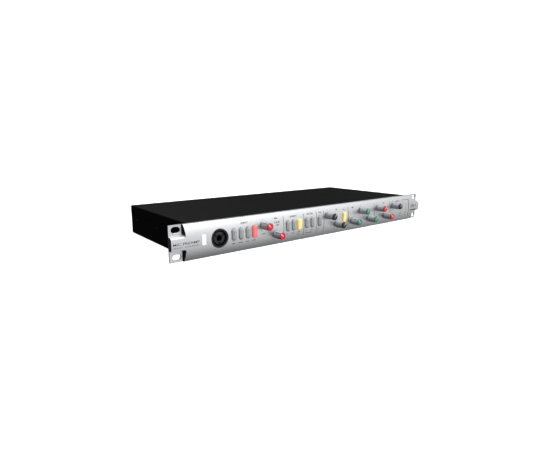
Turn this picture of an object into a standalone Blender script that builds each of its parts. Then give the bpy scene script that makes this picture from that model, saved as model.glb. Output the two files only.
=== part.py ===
"""Rack-mount microphone preamp: one rack unit high, with a convex aluminium front panel.

Metres, +Z up, +X to the right of the front panel, +Y towards the back. The origin is at the
bottom of the object's box, under its centre. Depths are counted from the rack plane, which is
the front face of the thin mounting ears, and depth() turns one into a world Y.
"""
import math

import bmesh
import bpy
from mathutils import Matrix, Vector

OBJECT_NAME = "microphone_preamp"
CUTTER_COLLECTION = "cutters"

# Clearances
GAP = 0.0003                # between pieces that rest on or pass through each other
SHAFT_CLEARANCE = 0.00015   # radial, where a shaft turns in its bushing
OVERCUT = 0.002             # how far a cutter runs past the face it opens
OVERLAP = 0.001             # how far a solid runs into the one it is joined to
MERGE = 0.00001

# Front panel: one rack unit of the 19 inch standard
PANEL_WIDTH = 0.4826
PANEL_HEIGHT = 0.04366
PANEL_BACK = 0.0020         # depth of the panel's flat back, and so the ears' thickness
FACE_CREST = -0.0068        # depth of the bulged face at mid height
FACE_EDGE = -0.0023         # depth of the face at its top and bottom edges
FACE_STEPS = 10
MID_Z = PANEL_HEIGHT / 2

# Mounting ears, and the pockets that thin the panel down to them at its four corners
SLOT_X = 0.23255
SLOT_SPACING = 0.03175
SLOT_LENGTH = 0.0106
SLOT_WIDTH = 0.0070
SLOT_ROUNDING = 0.98 * SLOT_WIDTH / 2
POCKET_WALL_X = 0.2246
POCKET_CORNER = 0.0024
POCKET_OVERCUT = 0.0100     # past the panel's edges, so that the cutters' outer corners miss it
EAR_BLOCK_LOW = 0.0142
EAR_BLOCK_HIGH = 0.0306

# Sheet-metal case
SHEET = 0.0012
CASE_HALF_WIDTH = 0.2159
CASE_BOTTOM = 0.0009
CASE_TOP = 0.0426
CASE_FRONT = PANEL_BACK + GAP
CASE_BACK = 0.1922
FOLD_RADIUS = 0.0014
LIP_HEIGHT = 0.0050
TRAY_HALF_WIDTH = CASE_HALF_WIDTH - SHEET - GAP
TRAY_TOP = CASE_TOP - SHEET - GAP
REAR_PANEL_OUTER = CASE_BACK - GAP
REAR_PANEL_HALF_WIDTH = TRAY_HALF_WIDTH - SHEET - GAP
REAR_PANEL_LOW = CASE_BOTTOM + SHEET + GAP

# Rotary controls
KNOB_RADIUS = 0.0052
CAP_RADIUS = 0.00495
SHAFT_RADIUS = 0.0030
KNOB_STANDOFF = 0.0005      # from the crest of the face to the knob's back
KNOB_BACK = FACE_CREST - KNOB_STANDOFF
KNOB_EDGE = 0.0004
KNOB_BORE_END = 0.0020      # from the knob's front to the end of its bore
CAP_FRONT = -0.0219
CAP_LENGTH = 0.0020
CAP_CROWN = 0.0008
CAP_BACK = CAP_FRONT + CAP_LENGTH
KNOB_FRONT = CAP_BACK + GAP
SHAFT_FRONT = KNOB_FRONT + KNOB_BORE_END
SHAFT_BACK = 0.0120
KNOB_SIDES = 20
SHAFT_SIDES = 16
POINTER_WIDTH = 0.0009
POINTER_DEPTH = 0.0004
POINTER_TAIL = 0.0010       # how far the pointer slot starts behind the cap's centre
UPPER_KNOB_Z = 0.0295
LOWER_KNOB_Z = 0.0148

# Push buttons
BUTTON_WIDTH = 0.0066
BUTTON_HEIGHT = 0.0152
BUTTON_REACH = 0.0030       # in front of the face's crest
BUTTON_FRONT = FACE_CREST - BUTTON_REACH
BUTTON_BACK = 0.0050
BUTTON_Z = 0.0236
STEM_SIZE = 0.0030
STEM_BACK = 0.0095
POWER_WIDTH = 0.0059
POWER_HEIGHT = 0.0132
POWER_REACH = 0.0011
POWER_FRONT = FACE_CREST - POWER_REACH
POWER_Z = 0.0230
POWER_X = -0.2010
BUTTON_ROUNDING = 0.0028
POWER_ROUNDING = 0.0007

# Control board behind the panel
BOARD = 0.0016
CONTROL_BOARD_FRONT = 0.0140
CONTROL_BOARD_HALF_WIDTH = 0.2080
CONTROL_BOARD_LOW = 0.0036
CONTROL_BOARD_HIGH = 0.0400
POT_WIDTH = 0.0100
POT_HEIGHT = 0.0110
POT_FRONT = 0.0080
BUSHING_RADIUS = 0.0042
SWITCH_SIZE = 0.0080

# Combination socket on the front
COMBO_X = -0.1792
COMBO_Z = 0.0217
COMBO_RADIUS = 0.0116
COMBO_FRONT = -0.0063
COMBO_BACK = 0.0300
COMBO_HOUSING = 0.0270
COMBO_CLEARANCE = 0.0010    # between the housing and the board round it

# Level meter
METER_X = 0.2055
METER_LOW_Z = 0.0102
METER_STEP = 0.0049
METER_LIGHTS = 5
METER_LENS_RADIUS = 0.0013
METER_LENS_PROUD = 0.0003
METER_BAR_WIDTH = 0.0036
METER_BAR_DEPTH = 0.0032

# Sockets: a round shell, a groove or a cavity in it, and a flange outside the rear panel
SHELL_RADIUS = 0.0118
SHELL_REACH = 0.0240
SOCKET_DEPTH = 0.0140
FLANGE_WIDTH = 0.0260
FLANGE_HEIGHT = 0.0310
FLANGE_THICKNESS = 0.0016
FLANGE_ROUNDING = 0.0020
SOCKET_BORE = 0.0096        # outer radius of the groove that takes a plug's shell
PIN_CAVITY = 0.0081         # radius of the open cavity round a socket's own pins
INSERT_RADIUS = 0.0078
INSERT_RECESS = 0.0015
JACK_BORE = 0.0044
JACK_BUSHING = 0.0070
JACK_NUT = 0.0092           # to its corners
JACK_NUT_THICKNESS = 0.0020
JACK_TIP = 0.1950
JACK_DEPTH = 0.0220
JACK_BODY_WIDTH = 0.0160
JACK_END_WALL = 0.0020
INLET_WIDTH = 0.0272
INLET_HEIGHT = 0.0196
INLET_FLANGE_WIDTH = 0.0310
INLET_FLANGE_HEIGHT = 0.0250
INLET_REACH = 0.0230
INLET_WALL = 0.0018
INLET_END_WALL = 0.0060
INLET_FLANGE_THICKNESS = 0.0020
LINE_INPUT_X = 0.1000
INSERT_SEND_X = 0.1340
INSERT_RETURN_X = 0.1560
OUTPUT_X = 0.1880
INLET_X = -0.1700

# Inside the case
STANDOFF_RADIUS = 0.0030
INNER_BOARD_LOW = 0.0080
MAIN_BOARD_X = (-0.1000, 0.2050)
MAIN_BOARD_Y = (0.0400, 0.1640)
POWER_BOARD_X = (-0.2060, -0.1120)
POWER_BOARD_Y = (0.0400, 0.0700)
TRANSFORMER_X = -0.1600
TRANSFORMER_DEPTH = 0.1100
TRANSFORMER_RADIUS = 0.0340
TRANSFORMER_BORE = 0.0100
TRANSFORMER_TOP = 0.0340
TRANSFORMER_EDGE = 0.0050

STANDOFF_INSET = 0.0080
CHIP_SIZE = (0.0100, 0.0080, 0.0035)
CHIP_PITCH = 0.0400
CHIP_COLUMNS = 7
CHIP_ROWS = 2
FIRST_CHIP = (0.0300, 0.0400)   # from the main board's corner
CAPACITOR_RADIUS = 0.0040
CAPACITOR_HEIGHT = 0.0110
CAPACITOR_PLACE = (0.0180, 0.0600)  # across from its chip, and back from the board's front edge
RESERVOIR_RADIUS = 0.0065
RESERVOIR_HEIGHT = 0.0200
RESERVOIR_PITCH = 0.0200
RESERVOIR_COUNT = 4
FIRST_RESERVOIR = (0.0170, 0.0090)  # from the power board's left end, and from its back edge
FIN_COUNT = 9
FIN_LENGTH = 0.0080
FIN_WIDTH = 0.0020
HEAT_SINK_INSET = 0.0060
HEAT_SINK_BASE = 0.0030
HEAT_SINK_HEIGHT = 0.0240
HEAT_SINK_BACK = 0.0130     # from the power board's front edge
RIBBON_LEFT = 0.0120
RIBBON_WIDTH = 0.0500
RIBBON_THICKNESS = 0.0009
RIBBON_START_Z = 0.0250
RIBBON_LANDING = 0.0120     # from the main board's front edge
RIBBON_STEPS = 10

# The object's box runs from the knob caps to the jack bushings, and the origin is under its centre
RACK_PLANE_Y = -(CAP_FRONT + JACK_TIP) / 2

# Rotary controls: name, X, upper or lower row, pointer angle clockwise from the top, cap colour
KNOBS = [
    ("mic_gain", -0.1140, UPPER_KNOB_Z, -42, "red"),
    ("line_gain", -0.0937, LOWER_KNOB_Z, -45, "red"),
    ("bass_gain", 0.0045, UPPER_KNOB_Z, 35, "black"),
    ("bass_frequency", 0.0245, LOWER_KNOB_Z, 38, "black"),
    ("mid_width", 0.0600, LOWER_KNOB_Z, -40, "green"),
    ("mid_gain", 0.0791, UPPER_KNOB_Z, 10, "green"),
    ("mid_frequency", 0.0996, LOWER_KNOB_Z, 40, "green"),
    ("treble_gain", 0.1221, UPPER_KNOB_Z, 42, "red"),
    ("treble_frequency", 0.1417, LOWER_KNOB_Z, -40, "red"),
    ("output_level", 0.1645, UPPER_KNOB_Z, 0, "black"),
]

# Push buttons: name, X, colour
BUTTONS = [
    ("phantom_button", -0.1592, "grey"),
    ("polarity_button", -0.1488, "grey"),
    ("pad_button", -0.1385, "grey"),
    ("input_select_button", -0.1286, "red_lit"),
    ("insert_button", -0.0725, "grey"),
    ("insert_pre_button", -0.0622, "grey"),
    ("insert_sum_button", -0.0523, "yellow_lit"),
    ("low_cut_button", -0.0375, "grey"),
    ("high_cut_button", -0.0272, "grey"),
    ("equaliser_button", -0.0125, "grey"),
    ("bass_shelf_button", 0.0396, "yellow_lit"),
]

# Colour, roughness, metallic
FINISHES = {
    "brushed_aluminium": ((0.72, 0.72, 0.74), 0.32, 1.0),
    "black_steel": ((0.010, 0.010, 0.011), 0.45, 0.0),
    "grey_plastic": ((0.13, 0.135, 0.14), 0.45, 0.0),
    "red": ((0.48, 0.03, 0.05), 0.35, 0.0),
    "black": ((0.012, 0.012, 0.013), 0.35, 0.0),
    "green": ((0.03, 0.16, 0.11), 0.35, 0.0),
    "grey": ((0.30, 0.31, 0.31), 0.40, 0.0),
    "red_lit": ((0.85, 0.16, 0.14), 0.40, 0.0),
    "yellow_lit": ((0.90, 0.78, 0.32), 0.40, 0.0),
    "white_lit": ((0.95, 0.95, 0.95), 0.40, 0.0),
    "steel": ((0.55, 0.55, 0.56), 0.30, 1.0),
    "black_plastic": ((0.010, 0.010, 0.010), 0.35, 0.0),
    "circuit_board": ((0.02, 0.14, 0.06), 0.50, 0.0),
    "transformer_wrap": ((0.45, 0.30, 0.04), 0.40, 0.0),
    "cable_grey": ((0.35, 0.35, 0.37), 0.55, 0.0),
    "clear_lens": ((0.55, 0.75, 0.50), 0.20, 0.0),
}


# ---------------------------------------------------------------- scene and objects

def clear_scene():
    for old in list(bpy.data.objects):
        bpy.data.objects.remove(old, do_unlink=True)


def collection(name):
    found = bpy.data.collections.get(name)
    if found is None:
        found = bpy.data.collections.new(name)
        bpy.context.scene.collection.children.link(found)
    return found


def material(name):
    found = bpy.data.materials.get(name)
    if found is None:
        colour, roughness, metallic = FINISHES[name]
        found = bpy.data.materials.new(name)
        found.use_nodes = True
        shader = found.node_tree.nodes["Principled BSDF"]
        shader.inputs["Base Color"].default_value = (*colour, 1.0)
        shader.inputs["Roughness"].default_value = roughness
        shader.inputs["Metallic"].default_value = metallic
    return found


def mesh_from(bm, name):
    bmesh.ops.recalc_face_normals(bm, faces=bm.faces)
    mesh = bpy.data.meshes.new(name)
    bm.to_mesh(mesh)
    bm.free()
    return mesh


def place(name, mesh, finish):
    """Make one named piece of the object."""
    mesh.materials.append(material(finish))
    mesh.shade_smooth()
    mesh.set_sharp_from_angle(angle=math.radians(30))
    piece = bpy.data.objects.new(name, mesh)
    collection(OBJECT_NAME).objects.link(piece)
    return piece


def tool(name, bm):
    """Make a hidden solid that a Boolean modifier uses."""
    helper = bpy.data.objects.new(name, mesh_from(bm, name))
    helper.hide_render = True
    helper.display_type = "WIRE"
    collection(CUTTER_COLLECTION).objects.link(helper)
    return helper


def combine(piece, helper, operation):
    modifier = piece.modifiers.new(helper.name, "BOOLEAN")
    modifier.operation = operation
    modifier.solver = "EXACT"
    modifier.object = helper


# ---------------------------------------------------------------- shapes

def depth(value):
    """World Y of a depth counted from the rack plane."""
    return RACK_PLANE_Y + value


def add_box(bm, x, y, z, rounding=0.0, axis=1, segments=3):
    """Box between two depths, with its edges along one axis rounded if asked."""
    low = Vector((x[0], depth(y[0]), z[0]))
    high = Vector((x[1], depth(y[1]), z[1]))
    size = high - low
    matrix = Matrix.Translation((low + high) / 2) @ Matrix.Diagonal((*size, 1.0))
    verts = bmesh.ops.create_cube(bm, size=1.0, matrix=matrix)["verts"]
    if not rounding:
        return
    edges = []
    for edge in {edge for vert in verts for edge in vert.link_edges}:
        along = edge.verts[1].co - edge.verts[0].co
        if abs(along[axis]) > 0.99 * along.length:
            edges.append(edge)
    bmesh.ops.bevel(bm, geom=edges, offset=rounding, segments=segments, affect="EDGES", profile=0.5)


def add_disc(bm, x, y, z, radius, sides=28):
    """Cylinder along Y between two depths."""
    centre = Vector((x, depth((y[0] + y[1]) / 2), z))
    matrix = Matrix.Translation(centre) @ Matrix.Rotation(math.radians(90), 4, "X")
    bmesh.ops.create_cone(bm, cap_ends=True, segments=sides, radius1=radius, radius2=radius,
                          depth=y[1] - y[0], matrix=matrix)


def add_post(bm, x, y, z, radius, sides=12):
    """Upright cylinder between two heights."""
    matrix = Matrix.Translation((x, depth(y), (z[0] + z[1]) / 2))
    bmesh.ops.create_cone(bm, cap_ends=True, segments=sides, radius1=radius, radius2=radius,
                          depth=z[1] - z[0], matrix=matrix)


def add_extrusion(bm, outline, along):
    """Flat outline swept along one vector into a closed solid."""
    face = bm.faces.new([bm.verts.new(point) for point in outline])
    swept = bmesh.ops.extrude_face_region(bm, geom=[face])
    moved = [item for item in swept["geom"] if isinstance(item, bmesh.types.BMVert)]
    bmesh.ops.translate(bm, vec=along, verts=moved)


def turned(name, profile, sides, finish):
    """Solid of revolution about its local Z; the profile runs down its outer side."""
    mesh = bpy.data.meshes.new(name)
    points = [(radius, 0.0, height) for radius, height in profile]
    edges = [(index, index + 1) for index in range(len(points) - 1)]
    if profile[0][0] > 0:
        edges.append((len(points) - 1, 0))
    mesh.from_pydata(points, edges, [])
    piece = place(name, mesh, finish)
    screw = piece.modifiers.new("turn", "SCREW")
    screw.axis = "Z"
    screw.steps = sides
    screw.render_steps = sides
    screw.use_smooth_shade = True
    screw.use_merge_vertices = True
    screw.merge_threshold = MERGE
    return piece


def block(name, x, y, z, finish):
    bm = bmesh.new()
    add_box(bm, x, y, z)
    return place(name, mesh_from(bm, name), finish)


# ---------------------------------------------------------------- front panel

def face_depth(z):
    """Depth of the bulged face at a height: one arc from the bottom edge to the top."""
    rise = FACE_EDGE - FACE_CREST
    radius = (MID_Z ** 2 + rise ** 2) / (2 * rise)
    return FACE_CREST + radius - math.sqrt(radius ** 2 - (z - MID_Z) ** 2)


def front_panel():
    heights = [PANEL_HEIGHT * step / FACE_STEPS for step in range(FACE_STEPS + 1)]
    outline = [(-PANEL_WIDTH / 2, depth(face_depth(z)), z) for z in heights]
    outline.append((-PANEL_WIDTH / 2, depth(PANEL_BACK), PANEL_HEIGHT))
    outline.append((-PANEL_WIDTH / 2, depth(PANEL_BACK), 0.0))
    bm = bmesh.new()
    add_extrusion(bm, outline, Vector((PANEL_WIDTH, 0, 0)))
    panel = place("front_panel", mesh_from(bm, "front_panel"), "brushed_aluminium")
    combine(panel, pocket_cutter(), "DIFFERENCE")
    combine(panel, opening_cutter(), "DIFFERENCE")


def pocket_cutter():
    bm = bmesh.new()
    past_end = PANEL_WIDTH / 2 + POCKET_OVERCUT
    for side in (-1, 1):
        x = sorted((side * POCKET_WALL_X, side * past_end))
        for z in ((EAR_BLOCK_HIGH, PANEL_HEIGHT + POCKET_OVERCUT), (-POCKET_OVERCUT, EAR_BLOCK_LOW)):
            add_box(bm, x, (FACE_CREST - OVERCUT, 0.0), z, POCKET_CORNER)
    return tool("panel_pockets", bm)


def opening_cutter():
    bm = bmesh.new()
    through = (FACE_CREST - OVERCUT, PANEL_BACK + OVERCUT)
    for side in (-1, 1):
        x = (side * SLOT_X - SLOT_LENGTH / 2, side * SLOT_X + SLOT_LENGTH / 2)
        for row in (-1, 1):
            centre = MID_Z + row * SLOT_SPACING / 2
            z = (centre - SLOT_WIDTH / 2, centre + SLOT_WIDTH / 2)
            add_box(bm, x, through, z, SLOT_ROUNDING)
    for _, x, z, _, _ in KNOBS:
        add_disc(bm, x, through, z, SHAFT_RADIUS + 2 * GAP, 12)
    for _, x, _ in BUTTONS:
        add_button_shape(bm, x, BUTTON_Z, BUTTON_WIDTH, BUTTON_HEIGHT, BUTTON_ROUNDING, through, GAP)
    add_button_shape(bm, POWER_X, POWER_Z, POWER_WIDTH, POWER_HEIGHT, POWER_ROUNDING, through, GAP)
    add_disc(bm, COMBO_X, through, COMBO_Z, COMBO_RADIUS + GAP, 32)
    for light in range(METER_LIGHTS):
        z = METER_LOW_Z + light * METER_STEP
        add_disc(bm, METER_X, through, z, METER_LENS_RADIUS + GAP, 8)
    return tool("panel_openings", bm)


# ---------------------------------------------------------------- case

def chassis_tray():
    """Folded floor and side walls, with a low lip behind the front panel and inside the rear one."""
    bm = bmesh.new()
    add_box(bm, (-TRAY_HALF_WIDTH, TRAY_HALF_WIDTH), (CASE_FRONT, CASE_BACK), (CASE_BOTTOM, TRAY_TOP))
    tray = place("chassis_tray", mesh_from(bm, "chassis_tray"), "black_steel")

    inner = TRAY_HALF_WIDTH - SHEET
    floor = CASE_BOTTOM + SHEET
    lip_back = CASE_BACK - SHEET - 2 * GAP
    bm = bmesh.new()
    add_box(bm, (-inner, inner), (CASE_FRONT + SHEET, lip_back - SHEET), (floor, TRAY_TOP + OVERCUT))
    combine(tray, tool("tray_inside", bm), "DIFFERENCE")

    bm = bmesh.new()
    ends = (CASE_FRONT - OVERCUT, CASE_BACK + OVERCUT)
    add_box(bm, (-inner, inner), ends, (CASE_BOTTOM + LIP_HEIGHT, TRAY_TOP + OVERCUT))
    combine(tray, tool("tray_ends", bm), "DIFFERENCE")

    bm = bmesh.new()
    add_box(bm, (-inner, inner), (lip_back, CASE_BACK + OVERCUT), (floor, CASE_BOTTOM + LIP_HEIGHT))
    combine(tray, tool("tray_rear_seat", bm), "DIFFERENCE")

    bm = bmesh.new()
    for x, y in standoff_places():
        add_post(bm, x, y, (CASE_BOTTOM + SHEET / 2, INNER_BOARD_LOW - GAP), STANDOFF_RADIUS)
    combine(tray, tool("tray_standoffs", bm), "UNION")


def standoff_places():
    """Corners of both inner boards, moved in from their edges."""
    places = []
    for x_range, y_range in ((MAIN_BOARD_X, MAIN_BOARD_Y), (POWER_BOARD_X, POWER_BOARD_Y)):
        for x in (x_range[0] + STANDOFF_INSET, x_range[1] - STANDOFF_INSET):
            for y in (y_range[0] + STANDOFF_INSET, y_range[1] - STANDOFF_INSET):
                places.append((x, y))
    return places


def top_cover():
    """One sheet folded down both sides, with rounded folds."""
    arc_steps = 4
    half = CASE_HALF_WIDTH
    section = [(-half, CASE_BOTTOM)]
    for side, start in ((-1, 180), (1, 90)):
        centre = (side * (half - FOLD_RADIUS), CASE_TOP - FOLD_RADIUS)
        for step in range(arc_steps + 1):
            angle = math.radians(start - 90 * step / arc_steps)
            x = centre[0] + FOLD_RADIUS * math.cos(angle)
            z = centre[1] + FOLD_RADIUS * math.sin(angle)
            section.append((x, z))
    section.append((half, CASE_BOTTOM))

    bm = bmesh.new()
    rows = []
    for end in (CASE_FRONT, CASE_BACK):
        rows.append([bm.verts.new((x, depth(end), z)) for x, z in section])
    for index in range(len(section) - 1):
        bm.faces.new((rows[0][index], rows[0][index + 1], rows[1][index + 1], rows[1][index]))
    mesh = bpy.data.meshes.new("top_cover")
    bm.to_mesh(mesh)
    bm.free()
    cover = place("top_cover", mesh, "black_steel")
    sheet = cover.modifiers.new("sheet", "SOLIDIFY")
    sheet.thickness = SHEET
    sheet.offset = -1.0
    sheet.use_even_offset = True


def rear_panel():
    """Flat plate between the tray's walls, cut for each socket."""
    outer = REAR_PANEL_OUTER
    bm = bmesh.new()
    x = (-REAR_PANEL_HALF_WIDTH, REAR_PANEL_HALF_WIDTH)
    add_box(bm, x, (outer - SHEET, outer), (REAR_PANEL_LOW, TRAY_TOP))
    panel = place("rear_panel", mesh_from(bm, "rear_panel"), "black_steel")
    through = (outer - SHEET - OVERCUT, outer + OVERCUT)
    bm = bmesh.new()
    for x in (LINE_INPUT_X, OUTPUT_X):
        add_disc(bm, x, through, MID_Z, SHELL_RADIUS + GAP)
    for x in (INSERT_SEND_X, INSERT_RETURN_X):
        add_disc(bm, x, through, MID_Z, JACK_BUSHING + GAP)
    half_width = INLET_WIDTH / 2 + GAP
    half_height = INLET_HEIGHT / 2 + GAP
    x = (INLET_X - half_width, INLET_X + half_width)
    add_box(bm, x, through, (MID_Z - half_height, MID_Z + half_height))
    combine(panel, tool("rear_panel_openings", bm), "DIFFERENCE")


# ---------------------------------------------------------------- rotary controls

def knob_parts(name, x, z, angle, colour):
    """Shaft, knob and coloured cap on one joint axis, which is the parent empty's local Z."""
    axis = bpy.data.objects.new(name + "_axis", None)
    axis.location = (x, depth(0.0), z)
    axis.rotation_euler = (math.radians(90), math.radians(angle), 0.0)
    collection(OBJECT_NAME).objects.link(axis)

    bore = SHAFT_RADIUS + GAP
    knob = turned(name + "_knob", [
        (0.0, -KNOB_FRONT),
        (KNOB_RADIUS - KNOB_EDGE, -KNOB_FRONT),
        (KNOB_RADIUS, -KNOB_FRONT - KNOB_EDGE),
        (KNOB_RADIUS, -KNOB_BACK),
        (bore, -KNOB_BACK),
        (bore, -SHAFT_FRONT + GAP),
        (0.0, -SHAFT_FRONT + GAP),
    ], KNOB_SIDES, "grey_plastic")

    cap = turned(name + "_cap", [
        (0.0, -CAP_FRONT),
        (CAP_RADIUS - CAP_CROWN, -CAP_FRONT),
        (CAP_RADIUS, -CAP_FRONT - CAP_CROWN),
        (CAP_RADIUS, -CAP_BACK),
        (0.0, -CAP_BACK),
    ], KNOB_SIDES, colour)

    shaft = turned(name + "_shaft", [
        (0.0, -SHAFT_FRONT),
        (SHAFT_RADIUS, -SHAFT_FRONT),
        (SHAFT_RADIUS, -SHAFT_BACK),
        (0.0, -SHAFT_BACK),
    ], SHAFT_SIDES, "steel")

    for piece in (knob, cap, shaft):
        piece.parent = axis
    combine(cap, pointer_cutter(name, axis), "DIFFERENCE")


def pointer_cutter(name, axis):
    """Slot across the cap's front, from its centre to its rim."""
    bm = bmesh.new()
    front = -CAP_FRONT
    size = Vector((POINTER_WIDTH, CAP_RADIUS + OVERCUT, 2 * POINTER_DEPTH))
    centre = Vector((0.0, size.y / 2 - POINTER_TAIL, front))
    matrix = Matrix.Translation(centre) @ Matrix.Diagonal((*size, 1.0))
    bmesh.ops.create_cube(bm, size=1.0, matrix=matrix)
    cutter = tool(name + "_pointer", bm)
    cutter.parent = axis
    return cutter


# ---------------------------------------------------------------- push buttons

def add_button_shape(bm, x, z, width, height, rounding, depths, grow=0.0):
    half_width = width / 2 + grow
    half_height = height / 2 + grow
    add_box(bm, (x - half_width, x + half_width), depths,
            (z - half_height, z + half_height), rounding + grow)


def button(name, x, z, size, rounding, front, finish):
    """Cap that slides in the panel, with a square stem down into its switch."""
    bm = bmesh.new()
    centre = Vector((x, depth(0.0), z))
    add_button_shape(bm, x, z, size[0], size[1], rounding, (front, BUTTON_BACK))
    bmesh.ops.translate(bm, vec=-centre, verts=bm.verts)
    piece = place(name, mesh_from(bm, name), finish)
    piece.location = centre

    bm = bmesh.new()
    half = STEM_SIZE / 2
    add_box(bm, (x - half, x + half), (BUTTON_BACK - OVERLAP, STEM_BACK), (z - half, z + half))
    combine(piece, tool(name + "_stem", bm), "UNION")


# ---------------------------------------------------------------- boards

def control_board():
    """Upright board with the potentiometers and the push switches soldered to its front."""
    bm = bmesh.new()
    front = CONTROL_BOARD_FRONT
    half = CONTROL_BOARD_HALF_WIDTH
    add_box(bm, (-half, half), (front, front + BOARD), (CONTROL_BOARD_LOW, CONTROL_BOARD_HIGH))
    board = place("control_board", mesh_from(bm, "control_board"), "circuit_board")

    bm = bmesh.new()
    into_board = front + BOARD / 2
    for _, x, z, _, _ in KNOBS:
        add_box(bm, (x - POT_WIDTH / 2, x + POT_WIDTH / 2), (POT_FRONT, into_board),
                (z - POT_HEIGHT / 2, z + POT_HEIGHT / 2))
    half = SWITCH_SIZE / 2
    for x, z in switch_places():
        add_box(bm, (x - half, x + half), (POT_FRONT, into_board), (z - half, z + half))
    combine(board, tool("pot_and_switch_bodies", bm), "UNION")

    bm = bmesh.new()
    for _, x, z, _, _ in KNOBS:
        add_disc(bm, x, (PANEL_BACK + GAP, POT_FRONT + OVERLAP), z, BUSHING_RADIUS, 10)
    combine(board, tool("pot_bushings", bm), "UNION")

    bm = bmesh.new()
    for _, x, z, _, _ in KNOBS:
        bore = (PANEL_BACK - OVERCUT, SHAFT_BACK + GAP)
        add_disc(bm, x, bore, z, SHAFT_RADIUS + SHAFT_CLEARANCE, SHAFT_SIDES)
    half = STEM_SIZE / 2 + GAP
    for x, z in switch_places():
        add_box(bm, (x - half, x + half), (POT_FRONT - OVERCUT, front - GAP), (z - half, z + half))
    half = COMBO_HOUSING / 2 + COMBO_CLEARANCE
    add_box(bm, (COMBO_X - half, COMBO_X + half), (front - OVERCUT, front + BOARD + OVERCUT),
            (COMBO_Z - half, COMBO_Z + half))
    combine(board, tool("control_board_openings", bm), "DIFFERENCE")


def switch_places():
    places = [(x, BUTTON_Z) for _, x, _ in BUTTONS]
    places.append((POWER_X, POWER_Z))
    return places


def main_board():
    """Audio board lying on its standoffs, with its capacitors and chips."""
    top = INNER_BOARD_LOW + BOARD
    bm = bmesh.new()
    add_box(bm, MAIN_BOARD_X, MAIN_BOARD_Y, (INNER_BOARD_LOW, top))
    board = place("main_board", mesh_from(bm, "main_board"), "circuit_board")
    bm = bmesh.new()
    into_board = top - BOARD / 2
    half_width, half_length = CHIP_SIZE[0] / 2, CHIP_SIZE[1] / 2
    for column in range(CHIP_COLUMNS):
        x = MAIN_BOARD_X[0] + FIRST_CHIP[0] + column * CHIP_PITCH
        for row in range(CHIP_ROWS):
            y = MAIN_BOARD_Y[0] + FIRST_CHIP[1] + row * CHIP_PITCH
            add_box(bm, (x - half_width, x + half_width), (y - half_length, y + half_length),
                    (into_board, top + CHIP_SIZE[2]))
        add_post(bm, x + CAPACITOR_PLACE[0], MAIN_BOARD_Y[0] + CAPACITOR_PLACE[1],
                 (into_board, top + CAPACITOR_HEIGHT), CAPACITOR_RADIUS, 10)
    combine(board, tool("main_board_components", bm), "UNION")


def power_board():
    """Mains board, with its reservoir capacitors."""
    top = INNER_BOARD_LOW + BOARD
    bm = bmesh.new()
    add_box(bm, POWER_BOARD_X, POWER_BOARD_Y, (INNER_BOARD_LOW, top))
    board = place("power_board", mesh_from(bm, "power_board"), "circuit_board")
    bm = bmesh.new()
    for column in range(RESERVOIR_COUNT):
        x = POWER_BOARD_X[0] + FIRST_RESERVOIR[0] + column * RESERVOIR_PITCH
        add_post(bm, x, POWER_BOARD_Y[1] - FIRST_RESERVOIR[1],
                 (top - BOARD / 2, top + RESERVOIR_HEIGHT), RESERVOIR_RADIUS, 12)
    combine(board, tool("power_board_capacitors", bm), "UNION")


def heat_sink():
    """Comb of fins standing on the power board."""
    low = INNER_BOARD_LOW + BOARD + GAP
    x_low = POWER_BOARD_X[0] + HEAT_SINK_INSET
    x_high = POWER_BOARD_X[1] - HEAT_SINK_INSET
    y_back = POWER_BOARD_Y[0] + HEAT_SINK_BACK
    root = y_back - HEAT_SINK_BASE
    pitch = (x_high - x_low - FIN_WIDTH) / (FIN_COUNT - 1)
    outline = [(x_low, y_back), (x_high, y_back)]
    for index in reversed(range(FIN_COUNT)):
        left = x_low + index * pitch
        outline.append((left + FIN_WIDTH, root - FIN_LENGTH))
        outline.append((left, root - FIN_LENGTH))
        if index:
            outline.append((left, root))
            outline.append((left - pitch + FIN_WIDTH, root))
    bm = bmesh.new()
    add_extrusion(bm, [(x, depth(y), low) for x, y in outline], Vector((0, 0, HEAT_SINK_HEIGHT)))
    place("heat_sink", mesh_from(bm, "heat_sink"), "steel")


def mains_transformer():
    """Toroidal transformer: a wound ring with rounded edges, standing on the tray's floor."""
    low = CASE_BOTTOM + SHEET + GAP
    radius, edge = TRANSFORMER_RADIUS - TRANSFORMER_EDGE, TRANSFORMER_EDGE
    profile = [(TRANSFORMER_BORE, TRANSFORMER_TOP)]
    for height, start in ((TRANSFORMER_TOP - edge, 90), (low + edge, 0)):
        for step in range(3):
            angle = math.radians(start - 45 * step)
            profile.append((radius + edge * math.cos(angle), height + edge * math.sin(angle)))
    profile.append((TRANSFORMER_BORE, low))
    ring = turned("mains_transformer", profile, 32, "transformer_wrap")
    ring.location = (TRANSFORMER_X, depth(TRANSFORMER_DEPTH), 0.0)


def ribbon_cable():
    """Flat cable from the control board down to the main board, in one soft bend."""
    start = (CONTROL_BOARD_FRONT + BOARD + GAP, RIBBON_START_Z)
    end = (MAIN_BOARD_Y[0] + RIBBON_LANDING, INNER_BOARD_LOW + BOARD + GAP)
    run = end[0] - start[0]
    points = []
    for step in range(RIBBON_STEPS + 1):
        part = step / RIBBON_STEPS
        bend = (1 - math.cos(math.pi * part)) / 2
        points.append((start[0] + run * part, start[1] + (end[1] - start[1]) * bend))
    bm = bmesh.new()
    rows = []
    for x in (RIBBON_LEFT, RIBBON_LEFT + RIBBON_WIDTH):
        rows.append([bm.verts.new((x, depth(y), z)) for y, z in points])
    for index in range(RIBBON_STEPS):
        bm.faces.new((rows[0][index], rows[1][index], rows[1][index + 1], rows[0][index + 1]))
    mesh = bpy.data.meshes.new("ribbon_cable")
    bm.to_mesh(mesh)
    bm.free()
    cable = place("ribbon_cable", mesh, "cable_grey")
    sheet = cable.modifiers.new("sheet", "SOLIDIFY")
    sheet.thickness = RIBBON_THICKNESS
    sheet.offset = 1.0
    sheet.use_even_offset = True


# ---------------------------------------------------------------- sockets and meter

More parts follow.
